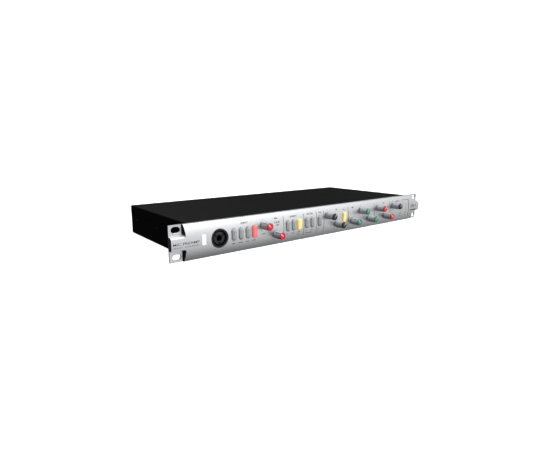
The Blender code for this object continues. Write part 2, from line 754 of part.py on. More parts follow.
def groove_socket(socket, x, z, front, outward, bore, insert):
    """Sink a round cavity into a connector's outer face, with an insert standing in it if asked."""
    outside = front + outward * OVERCUT
    bottom = front - outward * SOCKET_DEPTH
    bm = bmesh.new()
    add_disc(bm, x, sorted((outside, bottom)), z, bore, 24)
    combine(socket, tool(socket.name + "_cavity", bm), "DIFFERENCE")
    if insert:
        face = front - outward * INSERT_RECESS
        bm = bmesh.new()
        add_disc(bm, x, sorted((face, bottom - outward * OVERLAP)), z, INSERT_RADIUS, 24)
        combine(socket, tool(socket.name + "_insert", bm), "UNION")


def combo_socket():
    """Front socket that takes a three-pin plug in its groove or a jack plug in its middle."""
    half = COMBO_HOUSING / 2
    bm = bmesh.new()
    add_box(bm, (COMBO_X - half, COMBO_X + half), (PANEL_BACK + GAP, COMBO_BACK),
            (COMBO_Z - half, COMBO_Z + half))
    socket = place("combo_socket", mesh_from(bm, "combo_socket"), "black_plastic")
    bm = bmesh.new()
    add_disc(bm, COMBO_X, (COMBO_FRONT, PANEL_BACK + 2 * GAP), COMBO_Z, COMBO_RADIUS, 32)
    combine(socket, tool("combo_shell", bm), "UNION")
    groove_socket(socket, COMBO_X, COMBO_Z, COMBO_FRONT, -1, SOCKET_BORE, True)
    bm = bmesh.new()
    add_disc(bm, COMBO_X, (COMBO_FRONT - OVERCUT, COMBO_BACK - OVERCUT), COMBO_Z, JACK_BORE, 20)
    combine(socket, tool("combo_jack_bore", bm), "DIFFERENCE")


def rear_socket(name, x, bore, insert):
    """Rear connector: a square flange outside the panel and a round body through it."""
    front = REAR_PANEL_OUTER + GAP + FLANGE_THICKNESS
    bm = bmesh.new()
    half_width = FLANGE_WIDTH / 2
    half_height = FLANGE_HEIGHT / 2
    add_box(bm, (x - half_width, x + half_width), (front - FLANGE_THICKNESS, front),
            (MID_Z - half_height, MID_Z + half_height), FLANGE_ROUNDING)
    socket = place(name, mesh_from(bm, name), "black_plastic")
    bm = bmesh.new()
    shell = (front - SHELL_REACH, front - FLANGE_THICKNESS / 2)
    add_disc(bm, x, shell, MID_Z, SHELL_RADIUS, 32)
    combine(socket, tool(name + "_shell", bm), "UNION")
    groove_socket(socket, x, MID_Z, front, 1, bore, insert)


def jack_socket(name, x):
    """Insert jack: a moulded body inside, a threaded bushing and its nut outside."""
    half = JACK_BODY_WIDTH / 2
    inner = REAR_PANEL_OUTER - SHEET - GAP
    nut_low = REAR_PANEL_OUTER + GAP
    bm = bmesh.new()
    add_disc(bm, x, (inner - OVERLAP, JACK_TIP), MID_Z, JACK_BUSHING, 24)
    socket = place(name, mesh_from(bm, name), "black_plastic")
    bm = bmesh.new()
    add_box(bm, (x - half, x + half), (inner - JACK_DEPTH, inner), (MID_Z - half, MID_Z + half))
    combine(socket, tool(name + "_body", bm), "UNION")
    bm = bmesh.new()
    add_disc(bm, x, (nut_low, nut_low + JACK_NUT_THICKNESS), MID_Z, JACK_NUT, 6)
    combine(socket, tool(name + "_nut", bm), "UNION")
    bm = bmesh.new()
    add_disc(bm, x, (inner - JACK_DEPTH + JACK_END_WALL, JACK_TIP + OVERCUT), MID_Z, JACK_BORE, 20)
    combine(socket, tool(name + "_bore", bm), "DIFFERENCE")


def mains_inlet():
    """Mains inlet: a flanged box with a deep cavity for the connector."""
    outer = REAR_PANEL_OUTER + GAP + INLET_FLANGE_THICKNESS
    back = REAR_PANEL_OUTER - INLET_REACH
    half_width = INLET_WIDTH / 2
    half_height = INLET_HEIGHT / 2
    bm = bmesh.new()
    add_box(bm, (INLET_X - half_width, INLET_X + half_width), (back, outer - OVERLAP),
            (MID_Z - half_height, MID_Z + half_height))
    inlet = place("mains_inlet", mesh_from(bm, "mains_inlet"), "black_plastic")
    bm = bmesh.new()
    wide = INLET_FLANGE_WIDTH / 2
    tall = INLET_FLANGE_HEIGHT / 2
    add_box(bm, (INLET_X - wide, INLET_X + wide), (REAR_PANEL_OUTER + GAP, outer),
            (MID_Z - tall, MID_Z + tall), FLANGE_ROUNDING)
    combine(inlet, tool("inlet_flange", bm), "UNION")
    bm = bmesh.new()
    half_width -= INLET_WALL
    half_height -= INLET_WALL
    add_box(bm, (INLET_X - half_width, INLET_X + half_width), (back + INLET_END_WALL, outer + OVERCUT),
            (MID_Z - half_height, MID_Z + half_height))
    combine(inlet, tool("inlet_cavity", bm), "DIFFERENCE")


def meter_lights():
    """Light guide behind the panel with one round lens through it for each level."""
    bm = bmesh.new()
    top = METER_LOW_Z + (METER_LIGHTS - 1) * METER_STEP
    bar = (PANEL_BACK + GAP, PANEL_BACK + GAP + METER_BAR_DEPTH)
    half = METER_BAR_WIDTH / 2
    add_box(bm, (METER_X - half, METER_X + half), bar, (METER_LOW_Z - half, top + half))
    meter = place("meter_lights", mesh_from(bm, "meter_lights"), "clear_lens")
    bm = bmesh.new()
    for light in range(METER_LIGHTS):
        z = METER_LOW_Z + light * METER_STEP
        lens = (face_depth(z) - METER_LENS_PROUD, bar[0] + OVERLAP)
        add_disc(bm, METER_X, lens, z, METER_LENS_RADIUS, 8)
    combine(meter, tool("meter_lenses", bm), "UNION")


def build():
    clear_scene()
    front_panel()
    chassis_tray()
    top_cover()
    rear_panel()
    for knob in KNOBS:
        knob_parts(*knob)
    for name, x, finish in BUTTONS:
        size = (BUTTON_WIDTH, BUTTON_HEIGHT)
        button(name, x, BUTTON_Z, size, BUTTON_ROUNDING, BUTTON_FRONT, finish)
    size = (POWER_WIDTH, POWER_HEIGHT)
    button("power_button", POWER_X, POWER_Z, size, POWER_ROUNDING, POWER_FRONT, "white_lit")
    control_board()
    main_board()
    power_board()
    heat_sink()
    mains_transformer()
    ribbon_cable()
    combo_socket()
    rear_socket("line_input_socket", LINE_INPUT_X, SOCKET_BORE, True)
    rear_socket("output_socket", OUTPUT_X, PIN_CAVITY, False)
    jack_socket("insert_send_jack", INSERT_SEND_X)
    jack_socket("insert_return_jack", INSERT_RETURN_X)
    mains_inlet()
    meter_lights()


build()
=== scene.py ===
"""Looks of the rack microphone preamp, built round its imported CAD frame.

Metres, in the CAD model's own frame: +X to the right of the front panel, +Y to the back, +Z up.
Places come from the CAD nodes' boxes; a depth is counted from the rack plane, which is the front
face of the mounting ears.
"""
import math

import bmesh
import bpy
from mathutils import Matrix, Vector


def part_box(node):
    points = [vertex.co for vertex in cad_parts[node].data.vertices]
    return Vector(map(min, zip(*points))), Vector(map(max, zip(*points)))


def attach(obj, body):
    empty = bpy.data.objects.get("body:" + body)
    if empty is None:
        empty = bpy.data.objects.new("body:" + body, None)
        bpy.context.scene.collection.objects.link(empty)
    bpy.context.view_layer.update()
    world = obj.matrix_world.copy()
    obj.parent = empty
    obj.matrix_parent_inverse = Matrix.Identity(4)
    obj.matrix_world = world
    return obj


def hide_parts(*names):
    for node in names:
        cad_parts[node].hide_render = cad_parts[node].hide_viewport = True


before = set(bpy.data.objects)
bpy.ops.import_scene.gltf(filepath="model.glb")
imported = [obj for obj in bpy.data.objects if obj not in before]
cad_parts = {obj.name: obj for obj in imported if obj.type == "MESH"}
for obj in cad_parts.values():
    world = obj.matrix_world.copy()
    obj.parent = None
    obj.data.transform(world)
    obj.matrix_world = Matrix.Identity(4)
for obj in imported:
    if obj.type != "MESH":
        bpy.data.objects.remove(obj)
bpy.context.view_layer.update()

TAU = 2 * math.pi

# ---------------------------------------------------------------- dimensions from the frame

PANEL_LOW, PANEL_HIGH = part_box("front_panel")
PANEL_WIDTH = PANEL_HIGH.x - PANEL_LOW.x
PANEL_HEIGHT = PANEL_HIGH.z
PANEL_THICKNESS = 0.0020
PANEL_CORNER = 0.0010   # rounding of the face's top and bottom edges
RACK_PLANE = PANEL_HIGH.y - PANEL_THICKNESS
FACE_CREST = PANEL_LOW.y - RACK_PLANE
FACE_EDGE = -0.0023
MID_Z = PANEL_HEIGHT / 2

COVER_LOW, COVER_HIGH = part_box("top_cover")
REAR_LOW, REAR_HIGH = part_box("rear_panel")

SLOT_X = 0.23255
SLOT_SPACING = 0.03175
SLOT_LENGTH = 0.0106
SLOT_WIDTH = 0.0070
POCKET_WALL_X = 0.2252
POCKET_CORNER = 0.0026
EAR_BLOCK_LOW = 0.0142
EAR_BLOCK_HIGH = 0.0306

# Radii of the panel's round holes, and the level lights beside their printed levels
SHAFT_HOLE = 0.0036
COMBO_HOLE = 0.0119
METER_HOLE = 0.00155
METER_MARGIN = 0.0018
METER_MARKS = ("-18", "-12", "-6", "0", "+6")

INK_LIFT = 0.00005      # printed ink stands this far off the panel
INK_THICKNESS = 0.00003

POINTER_REST = {"mic_gain": -42, "line_gain": -45, "bass_gain": 35, "bass_frequency": 38,
                "mid_width": -40, "mid_gain": 10, "mid_frequency": 40, "treble_gain": 42,
                "treble_frequency": -40, "output_level": 0}
CAP_COLOURS = {"mic_gain": "red", "line_gain": "red", "bass_gain": "black",
               "bass_frequency": "black", "mid_width": "green", "mid_gain": "green",
               "mid_frequency": "green", "treble_gain": "red", "treble_frequency": "red",
               "output_level": "black"}
BUTTON_COLOURS = {"phantom_button": "grey", "polarity_button": "grey", "pad_button": "grey",
                  "input_select_button": "red_lit", "insert_button": "grey",
                  "insert_pre_button": "grey", "insert_sum_button": "yellow_lit",
                  "low_cut_button": "grey", "high_cut_button": "grey",
                  "equaliser_button": "grey", "bass_shelf_button": "yellow_lit"}
BUTTON_CORNERS = {"grey": 0.0033, "red_lit": 0.0017, "yellow_lit": 0.0017, "white_lit": 0.0009}
# How far each colour's face bulges, and how far its rounded edge runs back
BUTTON_CROWNS = {"grey": (0.0009, 0.0024), "red_lit": (0.0006, 0.0014),
                 "yellow_lit": (0.0006, 0.0014), "white_lit": (0.0002, 0.0006)}
BUTTON_CLEARANCE = 0.0003
POWER_INSET = (0.0002, 0.0004)      # the lit window is smaller than the cap's envelope


def extents(node):
    """A node's box: its low and high corners, its middle and its half size."""
    low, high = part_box(node)
    return low, high, (low + high) / 2, (high - low) / 2


def centre(node):
    return extents(node)[2]


def face_depth(z):
    """Depth of the bulged face at a height: one arc from the bottom edge to the top."""
    rise = FACE_EDGE - FACE_CREST
    radius = (MID_Z ** 2 + rise ** 2) / (2 * rise)
    return FACE_CREST + radius - math.sqrt(radius ** 2 - (z - MID_Z) ** 2)


def on_face(x, z, lift=0.0):
    """Point on the panel's face, raised off it by a small lift."""
    return Vector((x, RACK_PLANE + face_depth(z) - lift, z))


# ---------------------------------------------------------------- mesh helpers

def loft(bm, loops, capped=True):
    """Skin a list of rings that all have the same number of points."""
    rings = [[bm.verts.new(point) for point in loop] for loop in loops]
    count = len(rings[0])
    for lower, upper in zip(rings, rings[1:]):
        for index in range(count):
            after = (index + 1) % count
            bm.faces.new((lower[index], lower[after], upper[after], upper[index]))
    if capped:
        bm.faces.new(rings[0])
        bm.faces.new(reversed(rings[-1]))
    return rings


def circle(x, z, radius, y, sides):
    """Points round a line along Y, clockwise from the top as the front is seen."""
    points = []
    for side in range(sides):
        angle = TAU * side / sides
        points.append(Vector((x + radius * math.sin(angle), y, z + radius * math.cos(angle))))
    return points


def lathe(bm, profile, x, z, sides=64):
    """Turned solid about a line along Y. The profile is (radius, world Y) from end to end."""
    loft(bm, [circle(x, z, radius, y, sides) for radius, y in profile])


def rounded_outline(half_width, half_height, radius, arc_steps=8):
    """Closed outline of a rectangle with round corners, as (across, up) pairs."""
    radius = max(min(radius, half_width, half_height), 1e-6)
    points = []
    for corner, (sx, sz) in enumerate(((1, 1), (-1, 1), (-1, -1), (1, -1))):
        for step in range(arc_steps + 1):
            angle = math.radians(90 * corner + 90 * step / arc_steps)
            across = sx * (half_width - radius) + radius * math.cos(angle)
            up = sz * (half_height - radius) + radius * math.sin(angle)
            points.append((across, up))
    return points


def add_prism(bm, x, z, half_width, half_height, radius, sections, arc_steps=8):
    """Rounded prism along Y. Each section is (world Y, how much to grow the outline)."""
    loops = []
    for y, grow in sections:
        outline = rounded_outline(half_width + grow, half_height + grow,
                                  radius + grow, arc_steps)
        loops.append([Vector((x + across, y, z + up)) for across, up in outline])
    loft(bm, loops)


def add_box(bm, low, high, bevel=0.0):
    low, high = Vector(low), Vector(high)
    matrix = Matrix.Translation((low + high) / 2) @ Matrix.Diagonal((*(high - low), 1.0))
    verts = bmesh.ops.create_cube(bm, size=1.0, matrix=matrix)["verts"]
    if bevel:
        edges = list({edge for vert in verts for edge in vert.link_edges})
        bmesh.ops.bevel(bm, geom=edges, offset=bevel, segments=2, profile=0.5,
                        affect="EDGES")


def add_cylinder(bm, start, end, radius, sides):
    start, end = Vector(start), Vector(end)
    along = end - start
    turn = along.to_track_quat("Z", "Y").to_matrix().to_4x4()
    matrix = Matrix.Translation((start + end) / 2) @ turn
    bmesh.ops.create_cone(bm, cap_ends=True, segments=sides, radius1=radius, radius2=radius,
                          depth=along.length, matrix=matrix)


def to_mesh(bm, name, sharp=30):
    bmesh.ops.recalc_face_normals(bm, faces=bm.faces)
    mesh = bpy.data.meshes.new(name)
    bm.to_mesh(mesh)
    bm.free()
    finish_shading(mesh, sharp)
    return mesh


def finish_shading(mesh, sharp=30):
    mesh.shade_smooth()
    mesh.set_sharp_from_angle(angle=math.radians(sharp))


def loose(name, shape, sharp=30):
    """Object of a bmesh, mesh or curve, before it rides on any body."""
    data = to_mesh(shape, name, sharp) if isinstance(shape, bmesh.types.BMesh) else shape
    obj = bpy.data.objects.new(name, data)
    bpy.context.scene.collection.objects.link(obj)
    return obj


def apply_modifiers(obj):
    depsgraph = bpy.context.evaluated_depsgraph_get()
    mesh = bpy.data.meshes.new_from_object(obj.evaluated_get(depsgraph))
    obj.modifiers.clear()
    obj.data = mesh
    finish_shading(mesh)


def carve(obj, *cuts):
    """Apply Boolean operations one after another. Each cut is (bmesh, operation)."""
    helpers = []
    for index, (bm, operation) in enumerate(cuts):
        helper = loose(f"helper_{index}", bm)
        modifier = obj.modifiers.new("cut", "BOOLEAN")
        modifier.operation = operation
        modifier.solver = "EXACT"
        modifier.object = helper
        helpers.append(helper)
    bpy.context.view_layer.update()
    apply_modifiers(obj)
    for helper in helpers:
        bpy.data.objects.remove(helper, do_unlink=True)


def weighted(obj):
    modifier = obj.modifiers.new("weighted", "WEIGHTED_NORMAL")
    modifier.keep_sharp = True
    modifier.weight = 100


def piece(name, shape, look, body="case", replaces=(), sharp=30):
    """A visible piece with one of LOOKS, that rides on a body. Its shape may be an object."""
    obj = shape if isinstance(shape, bpy.types.Object) else loose(name, shape, sharp)
    obj.name = name
    obj.data.materials.clear()
    obj.data.materials.append(LOOKS[look])
    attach(obj, body)
    if replaces:
        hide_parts(*replaces)


# ---------------------------------------------------------------- materials

def linear(srgb):
    """Linear colour of an sRGB colour given from 0 to 255."""
    parts = []
    for value in srgb:
        value /= 255
        parts.append(value / 12.92 if value <= 0.04045 else ((value + 0.055) / 1.055) ** 2.4)
    return (*parts, 1.0)


class Look:
    """A Principled material with procedural variation of colour, roughness and relief."""

    def __init__(self, name, colour, roughness, metallic=0.0):
        self.material = bpy.data.materials.new(name)
        self.material.use_nodes = True
        self.nodes = self.material.node_tree.nodes
        self.links = self.material.node_tree.links
        self.shader = self.nodes["Principled BSDF"]
        self.colour = colour
        self.set("Base Color", colour)
        self.set("Roughness", roughness)
        self.set("Metallic", metallic)
        self.place = self.nodes.new("ShaderNodeTexCoord").outputs["Object"]

    def set(self, socket, value):
        self.shader.inputs[socket].default_value = value
        return self

    def noise(self, scale, detail=2.0, stretch=(1, 1, 1)):
        """Noise in object space, in features per metre."""
        mapping = self.nodes.new("ShaderNodeMapping")
        mapping.inputs["Scale"].default_value = stretch
        self.links.new(self.place, mapping.inputs["Vector"])
        noise = self.nodes.new("ShaderNodeTexNoise")
        noise.inputs["Scale"].default_value = scale
        noise.inputs["Detail"].default_value = detail
        self.links.new(mapping.outputs["Vector"], noise.inputs["Vector"])
        return noise.outputs["Fac"]

    def between(self, factor, low, high):
        ramp = self.nodes.new("ShaderNodeMapRange")
        ramp.inputs["From Min"].default_value = 0.3
        ramp.inputs["From Max"].default_value = 0.7
        ramp.inputs["To Min"].default_value = low
        ramp.inputs["To Max"].default_value = high
        self.links.new(factor, ramp.inputs["Value"])
        return ramp.outputs["Result"]

    def mottle(self, factor, amount):
        """Vary the base colour a little lighter and darker."""
        mix = self.nodes.new("ShaderNodeMix")
        mix.data_type = "RGBA"
        darker = [channel * (1 - amount) for channel in self.colour[:3]]
        lighter = [min(1.0, channel * (1 + amount)) for channel in self.colour[:3]]
        mix.inputs["A"].default_value = (*darker, 1.0)
        mix.inputs["B"].default_value = (*lighter, 1.0)
        self.links.new(factor, mix.inputs["Factor"])
        self.links.new(mix.outputs["Result"], self.shader.inputs["Base Color"])
        return self

    def vary_roughness(self, factor, low, high):
        self.links.new(self.between(factor, low, high), self.shader.inputs["Roughness"])
        return self

    def bump(self, factor, depth, strength=0.5):
        bump = self.nodes.new("ShaderNodeBump")
        bump.inputs["Strength"].default_value = strength
        bump.inputs["Distance"].default_value = depth
        self.links.new(factor, bump.inputs["Height"])
        self.links.new(bump.outputs["Normal"], self.shader.inputs["Normal"])
        return self


def anodised_aluminium():
    look = Look("anodised_aluminium", linear((214, 215, 218)), 0.40, 0.97)
    grain = look.noise(2600, 3)
    look.mottle(look.noise(160, 4), 0.015)
    look.vary_roughness(look.noise(700, 3), 0.38, 0.44)
    look.bump(grain, 0.00002, 0.35)
    return look.material


def powder_coat():
    look = Look("black_powder_coat", (0.004, 0.004, 0.0044, 1), 0.36)
    look.set("Specular IOR Level", 0.30)
    look.mottle(look.noise(240, 3), 0.25)
    look.vary_roughness(look.noise(900, 2), 0.32, 0.40)
    look.bump(look.noise(2200, 3), 0.00002, 0.25)
    return look.material


def moulded(name, colour, roughness, grain=3000, depth=0.00001):
    look = Look(name, colour, roughness)
    look.mottle(look.noise(500, 3), 0.06)
    look.vary_roughness(look.noise(1500, 2), roughness - 0.04, roughness + 0.06)
    look.bump(look.noise(grain, 2), depth, 0.4)
    return look.material


def lit(name, colour, glow):
    look = Look(name, colour, 0.35)
    look.mottle(look.noise(300, 2), 0.03)
    look.bump(look.noise(2500, 2), 0.00001, 0.3)
    look.set("Emission Color", colour)
    look.set("Emission Strength", glow)
    look.set("Subsurface Weight", 0.2)
    look.set("Subsurface Scale", 0.002)
    return look.material


def machined(name, colour, roughness):
    look = Look(name, colour, roughness, 1.0)
    look.mottle(look.noise(400, 3), 0.05)
    look.vary_roughness(look.noise(1800, 3, (1, 0.1, 1)), roughness - 0.06, roughness + 0.08)
    look.bump(look.noise(4000, 2, (1, 0.05, 1)), 0.000006, 0.4)
    return look.material


def board_green():
    look = Look("solder_mask", (0.012, 0.110, 0.045, 1), 0.35)
    look.mottle(look.noise(220, 5, (1, 4, 4)), 0.35)
    look.bump(look.noise(1200, 4), 0.00004, 0.5)
    return look.material


def amber_tape():
    look = Look("amber_tape", (0.42, 0.24, 0.03, 1), 0.30)
    look.mottle(look.noise(90, 3, (1, 1, 6)), 0.25)
    look.bump(look.noise(260, 2, (1, 1, 8)), 0.0004, 0.5)
    return look.material


LOOKS = {
    "aluminium": anodised_aluminium(),
    "black_steel": powder_coat(),
    "knob_grey": moulded("knob_grey", linear((168, 172, 178)), 0.34),
    "red": moulded("cap_red", linear((194, 36, 54)), 0.32),
    "black": moulded("cap_black", linear((22, 22, 24)), 0.32),
    "green": moulded("cap_green", linear((46, 126, 98)), 0.32),
    "grey": moulded("button_grey", linear((160, 164, 165)), 0.34),
    "red_lit": lit("button_red_lit", linear((224, 116, 116)), 0.26),
    "yellow_lit": lit("button_yellow_lit", linear((240, 220, 142)), 0.20),
    "white_lit": lit("button_white_lit", linear((236, 241, 250)), 0.20),
    "white_line": moulded("pointer_white", linear((238, 238, 238)), 0.45),
    "ink": moulded("panel_ink", linear((36, 37, 40)), 0.60),
    "rear_ink": moulded("rear_ink", linear((205, 205, 205)), 0.60),
    "socket": moulded("socket_black", linear((10, 10, 11)), 0.42),
    "rear_socket": moulded("rear_socket", linear((40, 40, 42)), 0.36),
    "socket_inner": moulded("socket_insert", linear((17, 17, 18)), 0.40),
    "dark": moulded("contact_dark", linear((6, 6, 6)), 0.60),
    "steel": machined("turned_steel", (0.55, 0.55, 0.56, 1), 0.30),
    "dark_steel": machined("blackened_steel", (0.05, 0.05, 0.052, 1), 0.36),
    # Painted shade: the pocket walls' dark aluminium colour stands for the shade they lie in, not a
    # finish of their own.
    "pocket_wall_painted_shade": machined("aluminium_painted_shade", (0.030, 0.032, 0.036, 1), 0.42),
    "black_screw": machined("black_screw", (0.03, 0.03, 0.032, 1), 0.38),
    "gold": machined("gold_contact", (0.80, 0.55, 0.20, 1), 0.25),
    "lens": lit("meter_lens", linear((190, 214, 170)), 0.10),
    "board": board_green(),
    "tape": amber_tape(),
    "cable": moulded("ribbon_cable", (0.33, 0.33, 0.35, 1), 0.5),
}


# ---------------------------------------------------------------- front panel

def panel_profile(steps=56, corner=PANEL_CORNER, corner_steps=5):
    """Panel section as (depth, z): the bulged face, softened edges and the flat back."""
    points = []
    low, high = corner, PANEL_HEIGHT - corner
    for step in range(corner_steps):
        angle = math.radians(90 * step / corner_steps)
        z = corner * (1 - math.cos(angle))
        points.append((face_depth(low) + corner * (1 - math.sin(angle)), z))
    for step in range(steps + 1):
        z = low + (high - low) * step / steps
        points.append((face_depth(z), z))
    for step in range(1, corner_steps + 1):
        angle = math.radians(90 * step / corner_steps)
        z = high + corner * math.sin(angle)
        points.append((face_depth(high) + corner * (1 - math.cos(angle)), z))
    points.append((PANEL_THICKNESS, PANEL_HEIGHT))
    points.append((PANEL_THICKNESS, 0.0))
    return points


# Corner pockets: depth, and how far the wall, the upper shelf and the lower shelf stand back
# from their feet at that depth
POCKET_SECTIONS = [(0.0, -0.0005, -0.0005, -0.0005), (-0.0009, 0.0, 0.0, 0.0),
                   (-0.0047, 0.0016, 0.0005, 0.0004), (-0.0066, 0.0024, 0.0024, 0.0006),
                   (-0.0098, 0.0036, 0.0056, 0.0010)]


def pocket_cut(bm, side, upper):
    """Corner pocket: a drafted wall, and a shelf that is rounded over if it is an upper one."""
    edge = EAR_BLOCK_HIGH if upper else PANEL_HEIGHT - EAR_BLOCK_LOW
    past_x = PANEL_WIDTH / 2 + 0.01
    past_z = PANEL_HEIGHT + 0.01
    loops = []
    for depth, wall_back, upper_back, lower_back in POCKET_SECTIONS:
        wall = POCKET_WALL_X - wall_back
        shelf = edge - (upper_back if upper else lower_back)
        y = RACK_PLANE + depth
        points = [(past_x, past_z), (wall, past_z)]
        steps = 8
        for step in range(steps + 1):
            angle = math.radians(90 * step / steps)
            x = wall + POCKET_CORNER * (1 - math.cos(angle))
            z = shelf + POCKET_CORNER * (1 - math.sin(angle))
            points.append((x, z))
        points.append((past_x, shelf))
        loop = []
        for x, z in points:
            loop.append(Vector((side * x, y, z if upper else PANEL_HEIGHT - z)))
        loops.append(loop)
    loft(bm, loops)


def front_panel():
    bm = bmesh.new()
    profile = panel_profile()
    columns = 24
    loops = []
    for column in range(columns + 1):
        x = -PANEL_WIDTH / 2 + PANEL_WIDTH * column / columns
        loops.append([Vector((x, RACK_PLANE + depth, z)) for depth, z in profile])
    loft(bm, loops)
    panel = loose("front_panel_body", bm)

    pockets = bmesh.new()
    for side in (-1, 1):
        for upper in (True, False):
            pocket_cut(pockets, side, upper)

    holes = bmesh.new()
    ahead = RACK_PLANE + FACE_CREST - 0.004
    behind = RACK_PLANE + PANEL_THICKNESS + 0.004
    for node, colour in BUTTON_COLOURS.items():
        button_hole(holes, node, BUTTON_CORNERS[colour] + BUTTON_CLEARANCE, ahead, behind)
    button_hole(holes, "power_button", BUTTON_CORNERS["white_lit"] + BUTTON_CLEARANCE, ahead, behind,
                POWER_INSET)
    for name in CAP_COLOURS:
        spot = centre(name + "_knob")
        lathe(holes, [(SHAFT_HOLE, ahead), (SHAFT_HOLE, behind)], spot.x, spot.z, 32)
    spot = centre("combo_socket")
    lathe(holes, [(COMBO_HOLE, ahead), (COMBO_HOLE, behind)], spot.x, spot.z, 72)
    for x, z in meter_places():
        lathe(holes, [(METER_HOLE, ahead), (METER_HOLE, behind)], x, z, 24)

    slots = bmesh.new()
    for side in (-1, 1):
        for row in (-1, 1):
            z = MID_Z + row * SLOT_SPACING / 2
            sections = [(RACK_PLANE - 0.002, 0.0005), (RACK_PLANE - 0.00001, 0.0005),
                        (RACK_PLANE + 0.0005, 0.0), (behind, 0.0)]
            add_prism(slots, side * SLOT_X, z, SLOT_LENGTH / 2, SLOT_WIDTH / 2,
                      SLOT_WIDTH / 2, sections, 12)
    carve(panel, (pockets, "DIFFERENCE"), (holes, "DIFFERENCE"), (slots, "DIFFERENCE"))
    weighted(panel)
    piece("front_panel_shell", panel, "aluminium",
          replaces=["front_panel"])
    darken_pocket_walls(panel)


def darken_pocket_walls(panel):
    """The walls that step down to the ears get painted shade: a dark colour that stands for the
    shade they lie in.
    """
    panel.data.materials.append(LOOKS["pocket_wall_painted_shade"])
    inner = POCKET_WALL_X - 0.0035
    for face in panel.data.polygons:
        in_pocket = inner < abs(face.center.x) < PANEL_WIDTH / 2 - 0.001
        ahead_of_ears = face.center.y < RACK_PLANE - 0.0001
        if in_pocket and ahead_of_ears and abs(face.normal.x) > 0.80:
            face.material_index = 1


def button_hole(bm, node, radius, ahead, behind, inset=(0.0, 0.0)):
    _, _, spot, half = extents(node)
    half_width = half.x - inset[0] + BUTTON_CLEARANCE
    half_height = half.z - inset[1] + BUTTON_CLEARANCE
    add_prism(bm, spot.x, spot.z, half_width, half_height, radius,
              [(ahead, 0.0), (behind, 0.0)])


def meter_places():
    low, high, middle, _ = extents("meter_lights")
    bottom, top = low.z + METER_MARGIN, high.z - METER_MARGIN
    last = len(METER_MARKS) - 1
    return [(middle.x, bottom + (top - bottom) * step / last) for step in range(last + 1)]


# ---------------------------------------------------------------- printing

def ink_text(words, x, z, height, width=None, spacing=1.0, flat_y=None, weight=0.0):
    """Mesh of printed words, centred on a point and wrapped on the panel's face.

    With flat_y they lie on the flat surface at that Y instead, and read from behind.
    """
    curve = bpy.data.curves.new("words", "FONT")
    curve.body = words
    curve.align_x = "CENTER"
    curve.align_y = "CENTER"
    curve.size = height / 0.70
    curve.space_character = spacing
    curve.offset = weight * height
    curve.resolution_u = 3
    curve.extrude = INK_THICKNESS / 2
    obj = loose("words", curve)
    bpy.context.view_layer.update()
    depsgraph = bpy.context.evaluated_depsgraph_get()
    mesh = bpy.data.meshes.new_from_object(obj.evaluated_get(depsgraph))
    bpy.data.objects.remove(obj, do_unlink=True)
    low = min(vert.co.x for vert in mesh.vertices)
    high = max(vert.co.x for vert in mesh.vertices)
    low_y = min(vert.co.y for vert in mesh.vertices)
    high_y = max(vert.co.y for vert in mesh.vertices)
    stretch = width / (high - low) if width else 1.0
    for vert in mesh.vertices:
        flat = Vector(((vert.co.x - (low + high) / 2) * stretch,
                       vert.co.y - (low_y + high_y) / 2))
        lift = INK_LIFT + vert.co.z
        if flat_y is None:
            vert.co = on_face(x + flat.x, z + flat.y, lift)
        else:
            vert.co = Vector((x - flat.x, flat_y + lift, z + flat.y))
    return mesh


def join_meshes(name, meshes):
    bm = bmesh.new()
    for mesh in meshes:
        bm.from_mesh(mesh)
        bpy.data.meshes.remove(mesh)
    joined = bpy.data.meshes.new(name)
    bm.to_mesh(joined)
    bm.free()
    return joined


def ink_stroke(bm, points, width):
    """Printed line through (x, z) points on the face, with a real small thickness."""
    half = width / 2
    loops = []
    for index, (x, z) in enumerate(points):
        before = points[max(index - 1, 0)]
        after = points[min(index + 1, len(points) - 1)]
        along = Vector((after[0] - before[0], after[1] - before[1])).normalized()
        side = Vector((-along.y, along.x)) * half
        loops.append([
            on_face(x + side.x, z + side.y, INK_LIFT + INK_THICKNESS),
            on_face(x - side.x, z - side.y, INK_LIFT + INK_THICKNESS),
            on_face(x - side.x, z - side.y, INK_LIFT / 2),
            on_face(x + side.x, z + side.y, INK_LIFT / 2),
        ])
    loft(bm, loops)


def upright(x, low, high, steps=10):
    return [(x, low + (high - low) * step / steps) for step in range(steps + 1)]


DIVIDER_TOP = 0.0373
DIVIDER_LOW = 0.0068
DIVIDER_WIDTH = 0.00070
DIVIDERS = (-0.0800, -0.0431, -0.0184, -0.0036, 0.0495, 0.1130, 0.1550)


def printed_lines():
    bm = bmesh.new()
    for x in DIVIDERS:
        ink_stroke(bm, upright(x, DIVIDER_LOW, DIVIDER_TOP), DIVIDER_WIDTH)
    left, right, top = 0.1896, 0.2092, 0.0366
    ink_stroke(bm, upright(right, DIVIDER_LOW, top), 0.0012)
    across = [(left + (right - left) * step / 6, top) for step in range(7)]
    ink_stroke(bm, across, 0.0006)
    piece("printed_lines", bm, "ink")


def printed_dials():
    """Eleven ticks round each knob, over the 300 degrees it turns."""
    bm = bmesh.new()
    ticks = 11
    for name in CAP_COLOURS:
        spot = centre(name + "_knob")
        for tick in range(ticks):
            angle = math.radians(-150 + 300 * tick / (ticks - 1))
            long_tick = tick % 5 == 0
            reach = 0.0083 if long_tick else 0.0077
            start = 0.0064
            points = []
            for part in (0.0, 0.5, 1.0):
                radius = start + (reach - start) * part
                points.append((spot.x + radius * math.sin(angle),
                               spot.z + radius * math.cos(angle)))
            ink_stroke(bm, points, 0.00034 if long_tick else 0.00026)
    piece("printed_dials", bm, "ink")


